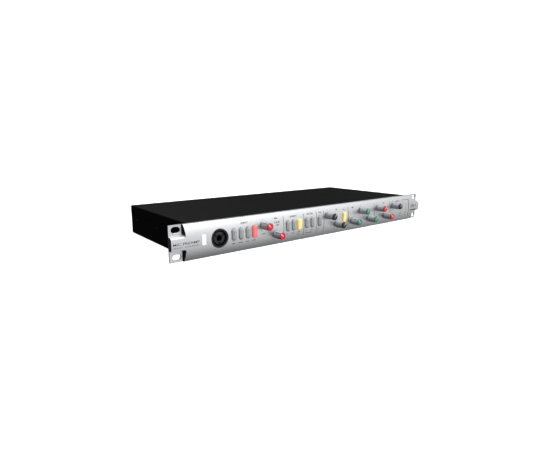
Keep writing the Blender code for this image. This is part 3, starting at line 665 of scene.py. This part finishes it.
def printed_words():
    """Generic names of the sections and controls."""
    head, small = 0.0021, 0.00135
    words = [
        ("INPUT", -0.1430, 0.0361, head, 0.0104),
        ("INSERT", -0.0622, 0.0357, head, 0.0122),
        ("FILTER", -0.0309, 0.0358, head, 0.0118),
        ("EQ", -0.0109, 0.0354, head, 0.0052),
        ("LF", 0.0240, 0.0364, head, 0.0038),
        ("MF", 0.0606, 0.0360, head, 0.0046),
        ("HF", 0.1385, 0.0360, head, 0.0044),
        ("OUTPUT", 0.1768, 0.0357, head, 0.0120),
        ("48V", -0.1597, 0.0121, small, 0.0050),
        ("PHASE", -0.1494, 0.0122, small, 0.0066),
        ("PAD", -0.1391, 0.0122, small, 0.0046),
        ("LINE", -0.1288, 0.0122, small, 0.0048),
        ("IN", -0.0732, 0.0124, small, 0.0022),
        ("PRE", -0.0629, 0.0122, small, 0.0046),
        ("SUM", -0.0526, 0.0126, small, 0.0050),
        ("MIX", -0.0526, 0.0092, small, 0.0046),
        ("75", -0.0384, 0.0121, small, 0.0026),
        ("150", -0.0280, 0.0121, small, 0.0038),
        ("HIGH PASS", -0.0334, 0.0090, small, 0.0120),
        ("IN", -0.0135, 0.0122, small, 0.0022),
        ("MIC", -0.0925, 0.0362, 0.0020, 0.0058),
        ("LINE", -0.0912, 0.0309, 0.0022, 0.0088),
        ("dB", -0.0912, 0.0272, 0.0018, 0.0052),
        ("BELL", 0.0400, 0.0350, small, 0.0050),
        ("GAIN", -0.1140, 0.0183, small, 0.0056),
        ("LEVEL", 0.1852, 0.0142, small, 0.0062),
        ("dB", 0.1862, 0.0098, small, 0.0034),
    ]
    meshes = [ink_text(text, x, z, size, width, weight=0.022)
              for text, x, z, size, width in words]
    for (x, z), text in zip(meter_places(), METER_MARKS):
        meshes.append(ink_text(text, x - 0.0046, z, small, weight=0.022))
    meshes.append(ink_text("MIC PREAMP", -0.2229, 0.0221, 0.0029, 0.0325, weight=0.004))
    meshes.append(ink_text("INPUT CHANNEL", -0.2228, 0.0182, 0.0014, 0.0330, spacing=1.5,
                           weight=0.02))
    meshes.append(ink_text("CH 1", 0.2236, 0.0240, 0.0052, 0.0150, weight=0.03))
    mesh = join_meshes("printed_words", meshes)
    finish_shading(mesh)
    piece("printed_words", mesh, "ink")


def right_block_bar():
    """Dark bar with a round dot at each end, under the right-hand mark."""
    bm = bmesh.new()
    low, high, z = 0.2162, 0.2306, 0.0170
    points = [(low + (high - low) * step / 6, z) for step in range(7)]
    ink_stroke(bm, points, 0.0018)
    for x in (low, high):
        y = RACK_PLANE + face_depth(z)
        lathe(bm, [(0.0013, y - INK_LIFT - 2 * INK_THICKNESS), (0.0013, y - INK_LIFT / 2)],
              x, z, 24)
    piece("right_block_bar", bm, "dark")


# ---------------------------------------------------------------- knobs

def arc_profile(radius_from, radius_to, y_from, y_to, steps=6):
    """Quarter-round corner of a turned profile, between two (radius, y) points."""
    points = []
    for step in range(steps + 1):
        angle = math.radians(90 * step / steps)
        radius = radius_from + (radius_to - radius_from) * math.sin(angle)
        y = y_to + (y_from - y_to) * math.cos(angle)
        points.append((radius, y))
    return points


def knob(name):
    body_low, body_high, spot, half = extents(name + "_knob")
    cap_low, cap_high, _, cap_half = extents(name + "_cap")
    radius, cap_radius = half.z, cap_half.z
    front, back = body_low.y, body_high.y
    edge = 0.0004

    bm = bmesh.new()
    profile = [(0.0, front), (radius * 0.93, front)]
    profile += arc_profile(radius * 0.93, radius * 0.965, front, front + edge)
    profile += [(radius * 0.975, front + 0.0030), (radius, back - 0.0012)]
    profile += [(radius, back - 0.0002), (radius - 0.0002, back), (0.0034, back),
                (0.0034, back - 0.0010)]
    lathe(bm, profile, spot.x, spot.z, 72)
    piece(name + "_body", bm, "knob_grey", name, [name + "_knob"])

    colour = CAP_COLOURS[name]
    bm = bmesh.new()
    face = cap_low.y
    dome = 0.0003
    profile = []
    for step in range(7):
        part = step / 6
        profile.append((cap_radius * 0.80 * part, face + dome * part ** 2))
    start = profile[-1]
    profile += arc_profile(start[0], cap_radius, start[1], start[1] + 0.0008)[1:]
    profile += [(cap_radius, cap_high.y - 0.0002), (cap_radius - 0.0002, cap_high.y)]
    lathe(bm, profile, spot.x, spot.z, 72)
    cap = loose(name + "_end_cap", bm)
    groove = bmesh.new()
    width = 0.0009
    pointer_box(groove, spot, POINTER_REST[name], width, -0.0006, cap_radius + 0.001,
                face - 0.001, face + 0.0005)
    carve(cap, (groove, "DIFFERENCE"))
    weighted(cap)
    piece(cap.name, cap, colour, name, [name + "_cap"])

    bm = bmesh.new()
    pointer_box(bm, spot, POINTER_REST[name], width - 0.0001, -0.00055, cap_radius * 0.93,
                face + 0.00008, face + 0.0005)
    piece(name + "_pointer", bm, "white_line", name)

    bm = bmesh.new()
    side_line(bm, spot, POINTER_REST[name], radius, front, back)
    piece(name + "_side_line", bm, "ink", name)


def pointer_box(bm, spot, angle, width, start, end, front, back):
    """Bar across a cap, from near its centre towards its rim at the pointer's angle."""
    turn = Matrix.Rotation(math.radians(angle), 4, "Y")
    place = Matrix.Translation((spot.x, 0, spot.z))
    size = Vector((width, back - front, end - start))
    middle = Matrix.Translation((0, (front + back) / 2, (start + end) / 2))
    matrix = place @ turn @ middle @ Matrix.Diagonal((*size, 1.0))
    bmesh.ops.create_cube(bm, size=1.0, matrix=matrix)


def side_line(bm, spot, angle, radius, front, back):
    """Dark line down the knob's side, in line with its pointer."""
    half = math.radians(4.5)
    middle = math.radians(angle)
    loops = []
    steps = 4
    for part, reach in ((0.0, 0.966), (0.25, 0.978), (0.72, 0.996)):
        y = front + 0.0006 + (back - front) * part
        outer, inner = [], []
        for step in range(steps + 1):
            turn = middle - half + 2 * half * step / steps
            for side, lift in ((outer, 0.00005), (inner, -0.00010)):
                distance = radius * reach + lift
                side.append(Vector((spot.x + distance * math.sin(turn), y,
                                    spot.z + distance * math.cos(turn))))
        loops.append(outer + list(reversed(inner)))
    loft(bm, loops)


# ---------------------------------------------------------------- buttons

def button(node, colour, inset=(0.0, 0.0)):
    """Pillow-shaped cap: rounded outline, rounded edge and a gently crowned face."""
    radius = BUTTON_CORNERS[colour]
    crown, edge = BUTTON_CROWNS[colour]
    low, high, spot, half = extents(node)
    half_width = half.x - inset[0]
    half_height = half.z - inset[1]
    front = low.y
    back = RACK_PLANE + 0.0050
    sections = [(back, -0.0003), (back - 0.0003, 0.0), (front + edge, 0.0)]
    for step in range(1, 6):
        angle = math.radians(90 * step / 5)
        sections.append((front + crown + (edge - crown) * (1 - math.sin(angle)),
                         -edge * 0.6 * (1 - math.cos(angle))))
    used = edge * 0.6
    room = half_width - used - 0.0001
    for step in range(1, 7):
        part = step / 6
        sections.append((front + crown * (1 - part) ** 2, -(used + room * part)))
    bm = bmesh.new()
    add_prism(bm, spot.x, spot.z, half_width, half_height, radius, sections)
    piece(node + "_cap", bm, colour, node, [node], sharp=40)
    bm = bmesh.new()
    add_box(bm, (spot.x - 0.0015, back - 0.0005, spot.z - 0.0015),
            (spot.x + 0.0015, high.y, spot.z + 0.0015), 0.0001)
    piece(node + "_stem", bm, "dark", node)


# ---------------------------------------------------------------- sockets

def socket_face(bm_shell, bm_insert, x, z, front, outward, shell_radius, bore, insert_radius,
                depth):
    """Shell ring with a rounded lip, and the insert that stands in its groove."""
    lip = 0.0004
    back = front - outward * depth
    profile = [(bore, back), (bore, front - outward * lip)]
    profile += [(bore + lip * 0.3, front - outward * lip * 0.3), (bore + lip, front)]
    profile += [(shell_radius - lip, front), (shell_radius - lip * 0.3, front - outward * lip * 0.3),
                (shell_radius, front - outward * lip), (shell_radius, back)]
    ring(bm_shell, profile, x, z)
    face = front - outward * 0.0015
    edge = 0.0005
    profile = [(0.0, face), (insert_radius - edge, face),
               (insert_radius - edge * 0.3, face - outward * edge * 0.3),
               (insert_radius, face - outward * edge), (insert_radius, back)]
    lathe(bm_insert, profile, x, z, 64)


def contact_places(spot, radius, spread):
    """Three contacts on a circle: one at the bottom, and one a spread in degrees to each side."""
    places = []
    for degrees in (-spread, 0, spread):
        angle = math.radians(degrees)
        places.append((spot.x + radius * math.sin(angle), spot.z - radius * math.cos(angle)))
    return places


def ring(bm, profile, x, z, sides=72):
    """Turned ring: a closed profile that never meets its axis."""
    rows = []
    for side in range(sides):
        angle = TAU * side / sides
        rows.append([bm.verts.new((x + radius * math.sin(angle), y, z + radius * math.cos(angle)))
                     for radius, y in profile])
    count = len(profile)
    for side in range(sides):
        here, after = rows[side], rows[(side + 1) % sides]
        for index in range(count):
            step = (index + 1) % count
            bm.faces.new((here[index], here[step], after[step], after[index]))


def combo_socket():
    """Round black socket on the front: shell, grooved insert with its holes, and housing."""
    low, high, spot, half = extents("combo_socket")
    shell, insert = bmesh.new(), bmesh.new()
    front = low.y
    socket_face(shell, insert, spot.x, spot.z, front, -1, 0.0116, 0.0096, 0.0078, 0.0130)
    piece("combo_shell", shell, "socket", replaces=["combo_socket"])
    body = loose("combo_insert", insert)
    holes = bmesh.new()
    mouth = front - 0.002
    lathe(holes, [(0.0042, mouth), (0.0042, front + 0.0019), (0.0034, front + 0.0026),
                  (0.0034, front + 0.0120)], spot.x, spot.z, 48)
    for x, z in contact_places(spot, 0.0060, 125):
        lathe(holes, [(0.00125, mouth), (0.00125, front + 0.0110)], x, z, 24)
    carve(body, (holes, "DIFFERENCE"))
    piece("combo_insert", body, "socket_inner")
    bm = bmesh.new()
    profile = [(0.0034, front + 0.0022), (0.0038, front + 0.0015), (0.0041, front + 0.0015),
               (0.0041, front + 0.0060), (0.0034, front + 0.0060)]
    ring(bm, profile, spot.x, spot.z)
    piece("combo_jack_collar", bm, "dark_steel")
    bm = bmesh.new()
    add_box(bm, (spot.x - half.x, RACK_PLANE + 0.0068, spot.z - half.x),
            (spot.x + half.x, high.y, spot.z + half.x), 0.0008)
    piece("combo_housing", bm, "socket")


def screw(name, point, outward, radius):
    """Low domed screw head with a hexagon socket, pressed on a surface of the case."""
    point, outward = Vector(point), Vector(outward)
    turn = outward.to_track_quat("Z", "Y").to_matrix()
    height = radius * 0.42
    socket = radius * 0.42 * math.cos(math.pi / 6)
    steps, sides = 6, 32

    rings = [(radius, -0.0001), (radius, height * 0.25)]
    for step in range(1, steps + 1):
        angle = math.radians(90 * step / steps)
        rings.append((radius * (0.55 + 0.45 * math.cos(angle)),
                      height * (0.25 + 0.75 * math.sin(angle))))
    loops = [[] for _ in range(len(rings) + 2)]
    for side in range(sides):
        angle = TAU * side / sides
        sector = (angle + math.pi / 6) % (math.pi / 3) - math.pi / 6
        flat = socket / math.cos(sector)
        steps_in = rings + [(flat, height), (flat, height * 0.30)]
        for loop, (reach, rise) in zip(loops, steps_in):
            across = Vector((reach * math.cos(angle), reach * math.sin(angle), rise))
            loop.append(point + turn @ across)
    bm = bmesh.new()
    loft(bm, loops)
    piece(name, bm, "black_screw")


# Radii of the three-pin sockets on the back
XLR_SHELL = 0.0113
XLR_INSERT = 0.0078
XLR_BORES = {"line_input_socket": 0.0096, "output_socket": 0.0081}
XLR_CONTACT_CIRCLE = 0.0045


def rear_sockets():
    """The input shows its insert, with a hole for each pin. The output shows its three pins."""
    for node, bore in XLR_BORES.items():
        low, high, spot, half = extents(node)
        front = high.y
        shell, insert = bmesh.new(), bmesh.new()
        socket_face(shell, insert, spot.x, spot.z, front + 0.0002, 1, XLR_SHELL, bore, XLR_INSERT,
                    0.0140)
        piece(node + "_shell", shell, "rear_socket", replaces=[node])
        rear_flange(node, spot, half, front)
        back = bmesh.new()
        add_cylinder(back, (spot.x, low.y, spot.z), (spot.x, front - 0.0142, spot.z), XLR_SHELL, 48)
        piece(node + "_body", back, "rear_socket")
        contacts = contact_places(spot, XLR_CONTACT_CIRCLE, 120)
        if node == "line_input_socket":
            pierced_insert(node, insert, contacts, front)
        else:
            insert.free()
            rear_pins(node, contacts, front)
        for side in (-1, 1):
            place = (spot.x + side * (half.x - 0.0032), front, spot.z + side * (half.z - 0.0034))
            screw(f"{node}_screw_{side + 1}", place, (0, 1, 0), 0.0021)


def rear_flange(node, spot, half, front):
    """Plate with round corners that the shell stands in."""
    outer = REAR_HIGH.y
    flange = bmesh.new()
    add_prism(flange, spot.x, spot.z, half.x, half.z, 0.002,
              [(outer + 0.0003, 0.0), (front - 0.0003, 0.0), (front, -0.0003)])
    plate = loose(node + "_flange", flange)
    hole = bmesh.new()
    radius = XLR_SHELL + 0.00005
    lathe(hole, [(radius, outer - 0.001), (radius, front + 0.001)], spot.x, spot.z, 72)
    carve(plate, (hole, "DIFFERENCE"))
    piece(node + "_flange", plate, "rear_socket")


def pierced_insert(node, insert, contacts, front):
    body = loose(node + "_insert", insert)
    holes = bmesh.new()
    for x, z in contacts:
        lathe(holes, [(0.0014, front - 0.010), (0.0014, front + 0.001)], x, z, 24)
    carve(body, (holes, "DIFFERENCE"))
    piece(node + "_insert", body, "socket")


def rear_pins(node, contacts, front):
    bm = bmesh.new()
    tip = front - 0.0020
    for x, z in contacts:
        lathe(bm, [(0.0012, front - 0.0145), (0.0012, tip - 0.0006), (0.0009, tip - 0.0001),
                   (0.0004, tip)], x, z, 24)
    piece(node + "_pins", bm, "gold")


def jack(node):
    """Jack socket: threaded bushing, six-sided nut, and the housing behind the rear panel."""
    low, high, spot, half = extents(node)
    outer = REAR_HIGH.y
    tip = high.y
    bore, thread, nut_corner = 0.0040, 0.0068, 0.0092
    bm = bmesh.new()
    profile = [(bore, outer - 0.012), (bore, tip - 0.0006), (bore + 0.0005, tip)]
    profile.append((thread - 0.0003, tip))
    turns = 5
    pitch = (tip - outer) / turns
    for turn in range(turns):
        y = tip - turn * pitch
        profile.append((thread, y - pitch * 0.35))
        profile.append((thread - 0.00025, y - pitch * 0.85))
    profile.append((thread, outer - 0.0010))
    profile.append((thread, outer - 0.012))
    ring(bm, profile, spot.x, spot.z, 48)
    piece(node + "_bushing", bm, "rear_socket", replaces=[node])
    bm = bmesh.new()
    loops = []
    for y, grow in ((outer + 0.0003, 0.0), (outer + 0.0018, 0.0), (outer + 0.0023, -0.0005)):
        loops.append(circle(spot.x, spot.z, nut_corner + grow, y, 6))
    loft(bm, loops)
    nut = loose(node + "_nut", bm)
    hole = bmesh.new()
    lathe(hole, [(thread + 0.0001, outer - 0.001), (thread + 0.0001, outer + 0.004)],
          spot.x, spot.z, 48)
    carve(nut, (hole, "DIFFERENCE"))
    piece(node + "_nut", nut, "steel")
    bm = bmesh.new()
    add_box(bm, (spot.x - half.x, low.y, spot.z - half.x),
            (spot.x + half.x, outer - 0.0125, spot.z + half.x), 0.0008)
    piece(node + "_housing", bm, "rear_socket")


def mains_inlet():
    """Mains inlet: flange and hollow body in one, with three blades inside."""
    low, high, spot, half = extents("mains_inlet")
    outer = REAR_HIGH.y
    bm = bmesh.new()
    add_prism(bm, spot.x, spot.z, half.x, half.z, 0.002,
              [(outer + 0.0003, 0.0), (high.y - 0.0004, 0.0), (high.y - 0.0001, -0.0004)])
    frame_piece = loose("mains_inlet_flange", bm)
    body = bmesh.new()
    add_prism(body, spot.x, spot.z, 0.0134, 0.0096, 0.0012,
              [(low.y, 0.0), (high.y - 0.0008, 0.0)])
    cavity = bmesh.new()
    add_prism(cavity, spot.x, spot.z, 0.0118, 0.0080, 0.0030,
              [(low.y + 0.0060, 0.0), (high.y - 0.0006, 0.0), (high.y + 0.0004, 0.0008)])
    carve(frame_piece, (body, "UNION"), (cavity, "DIFFERENCE"))
    piece("mains_inlet_flange", frame_piece, "rear_socket",
          replaces=["mains_inlet"])
    bm = bmesh.new()
    for x, z in ((-0.0070, -0.0020), (0.0, 0.0020), (0.0070, -0.0020)):
        add_box(bm, (spot.x + x - 0.0010, low.y + 0.0055, spot.z + z - 0.0020),
                (spot.x + x + 0.0010, high.y - 0.0045, spot.z + z + 0.0020), 0.0003)
    piece("mains_inlet_blades", bm, "steel")


# ---------------------------------------------------------------- case

def top_cover():
    """Folded sheet: the top and both sides, with round folds and softened cut edges."""
    thickness = 0.0012
    fold = 0.0016
    half = (COVER_HIGH.x - COVER_LOW.x) / 2
    top, bottom = COVER_HIGH.z, COVER_LOW.z
    steps = 8
    outer, inner = [(-half, bottom)], [(-half + thickness, bottom)]
    for side, start in ((-1, 180), (1, 90)):
        middle = (side * (half - fold), top - fold)
        for step in range(steps + 1):
            angle = math.radians(start - 90 * step / steps)
            for line, radius in ((outer, fold), (inner, fold - thickness)):
                line.append((middle[0] + radius * math.cos(angle),
                             middle[1] + radius * math.sin(angle)))
    outer.append((half, bottom))
    inner.append((half - thickness, bottom))
    outline = outer + list(reversed(inner))
    bm = bmesh.new()
    rows = 10
    loops = []
    for row in range(rows + 1):
        y = COVER_LOW.y + (COVER_HIGH.y - COVER_LOW.y) * row / rows
        loops.append([Vector((x, y, z)) for x, z in outline])
    loft(bm, loops)
    cover = loose("top_cover_sheet", bm)
    edges = cover.modifiers.new("edges", "BEVEL")
    edges.width = 0.0002
    edges.segments = 2
    edges.limit_method = "ANGLE"
    edges.angle_limit = math.radians(50)
    apply_modifiers(cover)
    weighted(cover)
    piece("top_cover_sheet", cover, "black_steel", replaces=["top_cover"])
    for side in (-1, 1):
        for index, part in enumerate((0.12, 0.5, 0.88)):
            y = COVER_LOW.y + (COVER_HIGH.y - COVER_LOW.y) * part
            screw(f"side_screw_{side + 1}_{index}", (side * half, y, (top + bottom) / 2),
                  (side, 0, 0), 0.0029)


def rear_fittings():
    outer = REAR_HIGH.y
    for index, x in enumerate((-0.2060, -0.0900, 0.0200, 0.2080)):
        for row, z in enumerate((REAR_LOW.z + 0.0040, REAR_HIGH.z - 0.0040)):
            screw(f"rear_screw_{index}_{row}", (x, outer, z), (0, 1, 0), 0.0022)
    meshes = []
    marks = [("MIC / LINE IN", "line_input_socket"), ("SEND", "insert_send_jack"),
             ("RETURN", "insert_return_jack"), ("OUTPUT", "output_socket"),
             ("MAINS", "mains_inlet")]
    for text, node in marks:
        low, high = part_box(node)
        tall = high.z - low.z > 0.020
        z = 0.0040 if tall else min(low.z - 0.0045, 0.0095)
        meshes.append(ink_text(text, (low.x + high.x) / 2, z, 0.0017, flat_y=outer))
    mesh = join_meshes("rear_words", meshes)
    finish_shading(mesh)
    piece("rear_words", mesh, "rear_ink")


def carried_over_nodes():
    """CAD nodes whose shape is right keep it, with a finish of their own."""
    looks = {"chassis_tray": "black_steel", "rear_panel": "black_steel",
             "control_board": "board", "main_board": "board", "power_board": "board",
             "heat_sink": "steel", "mains_transformer": "tape", "ribbon_cable": "cable",
             "meter_lights": "lens"}
    for node, look in looks.items():
        dress(node, look)
    for name in CAP_COLOURS:
        dress(name + "_shaft", "steel")


def dress(node, look):
    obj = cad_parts[node]
    obj.data.materials.clear()
    obj.data.materials.append(LOOKS[look])


# ---------------------------------------------------------------- stage, light and camera

CAMERA_PLACE = (-0.41918, RACK_PLANE - 0.41483, 0.13047)
CAMERA_LENS = 26.30
CAMERA_AZIMUTH = -38.456
CAMERA_TILT = 11.165
CAMERA_ROLL = 0.08
FLOOR_GLOW = 0.80
# Brightness of the surroundings at angles above and below the horizon, in degrees
SKY = [(-70, 0.06), (-50, 0.12), (-40, 0.34), (-30, 0.74), (-20, 1.08), (-8, 1.06), (4, 0.99),
       (12, 1.16), (20, 1.90), (28, 3.00), (50, 3.40), (80, 1.80)]
SKY_PEAK = 3.4
# Share of that brightness, by how far a direction points to the front (-1) or the back (1)
SIDES = [(-0.89, 0.84), (-0.74, 1.0), (-0.62, 0.84), (-0.52, 0.50), (-0.42, 0.36), (-0.30, 0.22),
         (-0.10, 0.30), (0.30, 0.05), (0.60, 0.015)]
# The same, by how far it points to the left (-1) or the right (1) end
ENDS = [(-0.80, 0.07), (-0.30, 0.70), (0.0, 1.0)]


def stage():
    """Pale round floor that curves up into a pale wall on every side of the object.

    It is only a backdrop: it shows in no reflection, and takes no part in light or shadow.
    """
    look = Look("pale_floor", linear((240, 240, 240)), 0.9)
    look.mottle(look.noise(6, 2), 0.004)
    look.set("Specular IOR Level", 0.0)
    look.set("Emission Color", (1, 1, 1, 1))
    look.set("Emission Strength", FLOOR_GLOW)
    flat, bend, height, sides = 2.8, 1.2, 4.0, 96
    profile = []
    for step in range(13):
        angle = math.radians(90 * step / 12)
        profile.append((flat + bend * math.sin(angle), bend * (1 - math.cos(angle))))
    profile.append((flat + bend, height))
    bm = bmesh.new()
    rings = loft(bm, [[Vector((reach * math.cos(TAU * side / sides),
                               reach * math.sin(TAU * side / sides), z)) for side in range(sides)]
                      for reach, z in profile], capped=False)
    bm.faces.new(reversed(rings[0]))
    mesh = bpy.data.meshes.new("floor")
    bm.to_mesh(mesh)
    bm.free()
    mesh.shade_smooth()
    floor = loose("floor", mesh)
    mesh.materials.append(look.material)
    floor.visible_glossy = False
    floor.visible_diffuse = False
    floor.visible_shadow = False


def area_light(name, place, target, size, energy, mirrored=True):
    light = bpy.data.lights.new(name, "AREA")
    light.shape = "RECTANGLE"
    light.size, light.size_y = size
    light.energy = energy
    obj = bpy.data.objects.new(name, light)
    obj.location = place
    aim = Vector(target) - Vector(place)
    obj.rotation_euler = aim.to_track_quat("-Z", "Y").to_euler()
    obj.visible_glossy = mirrored
    bpy.context.scene.collection.objects.link(obj)


def graded(nodes, links, value, stops):
    """Grey ramp over a direction's part along one axis, from -1 to 1."""
    spread = nodes.new("ShaderNodeMapRange")
    spread.inputs["From Min"].default_value = -1.0
    links.new(value, spread.inputs["Value"])
    ramp = nodes.new("ShaderNodeValToRGB")
    links.new(spread.outputs["Result"], ramp.inputs["Fac"])
    elements = ramp.color_ramp.elements
    while len(elements) < len(stops):
        elements.new(0.5)
    for element, (place, share) in zip(elements, stops):
        element.position = (place + 1) / 2
        element.color = (share, share, share, 1.0)
    return ramp.outputs["Color"]


def multiplied(nodes, links, first, second, constant=1.0):
    """Product of one value and another, or of one value and a constant."""
    product = nodes.new("ShaderNodeMath")
    product.operation = "MULTIPLY"
    links.new(first, product.inputs[0])
    product.inputs[1].default_value = constant
    if second:
        links.new(second, product.inputs[1])
    return product.outputs["Value"]


def studio_world():
    """Soft surroundings: bright above and in front of the panel, dim below and behind it."""
    world = bpy.data.worlds.new("studio")
    bpy.context.scene.world = world
    world.use_nodes = True
    nodes, links = world.node_tree.nodes, world.node_tree.links
    way = nodes.new("ShaderNodeSeparateXYZ")
    links.new(nodes.new("ShaderNodeTexCoord").outputs["Generated"], way.inputs["Vector"])

    heights = [(math.sin(math.radians(angle)), value / SKY_PEAK) for angle, value in SKY]
    sky = graded(nodes, links, way.outputs["Z"], heights)
    side = graded(nodes, links, way.outputs["Y"], SIDES)
    ends = graded(nodes, links, way.outputs["X"], ENDS)
    share = multiplied(nodes, links, side, ends)
    power = multiplied(nodes, links, share, None, SKY_PEAK)
    background = nodes["Background"]
    links.new(sky, background.inputs["Color"])
    links.new(power, background.inputs["Strength"])


def lighting():
    studio_world()
    area_light("overhead", (0.30, -0.10, 1.50), (0, 0, 0), (0.9, 0.5), 6)
    area_light("rear_softbox", (0.0, 1.0, 1.6), (0, 0.08, 0.02), (0.8, 0.5), 8)
    area_light("rear_low_softbox", (0.45, 1.25, -0.42), (0.1, 0.1, 0.02), (1.1, 0.8), 24)
    area_light("left_fill", (-0.60, -1.00, 0.90), (0.10, 0, 0), (0.8, 0.6), 4.5, mirrored=False)
    area_light("right_fill", (0.25, -0.80, 0.90), (0.10, 0, 0), (0.6, 0.4), 2.6, mirrored=False)


def camera():
    """The photograph's viewpoint: low, from the left end of the front panel."""
    lens = bpy.data.cameras.new("camera")
    lens.sensor_width = 36.0
    lens.lens = CAMERA_LENS
    lens.clip_start = 0.01
    obj = bpy.data.objects.new("camera", lens)
    obj.location = CAMERA_PLACE
    obj.rotation_euler = (math.radians(90 - CAMERA_TILT), math.radians(CAMERA_ROLL),
                          math.radians(CAMERA_AZIMUTH))
    bpy.context.scene.collection.objects.link(obj)
    bpy.context.scene.camera = obj


def build():
    front_panel()
    printed_lines()
    printed_dials()
    printed_words()
    right_block_bar()
    for name in CAP_COLOURS:
        knob(name)
    for node, colour in BUTTON_COLOURS.items():
        button(node, colour)
    button("power_button", "white_lit", POWER_INSET)
    combo_socket()
    rear_sockets()
    jack("insert_send_jack")
    jack("insert_return_jack")
    mains_inlet()
    top_cover()
    rear_fittings()
    carried_over_nodes()
    stage()
    lighting()
    camera()
    bpy.context.scene.view_settings.view_transform = "Standard"


build()
bpy.context.view_layer.update()
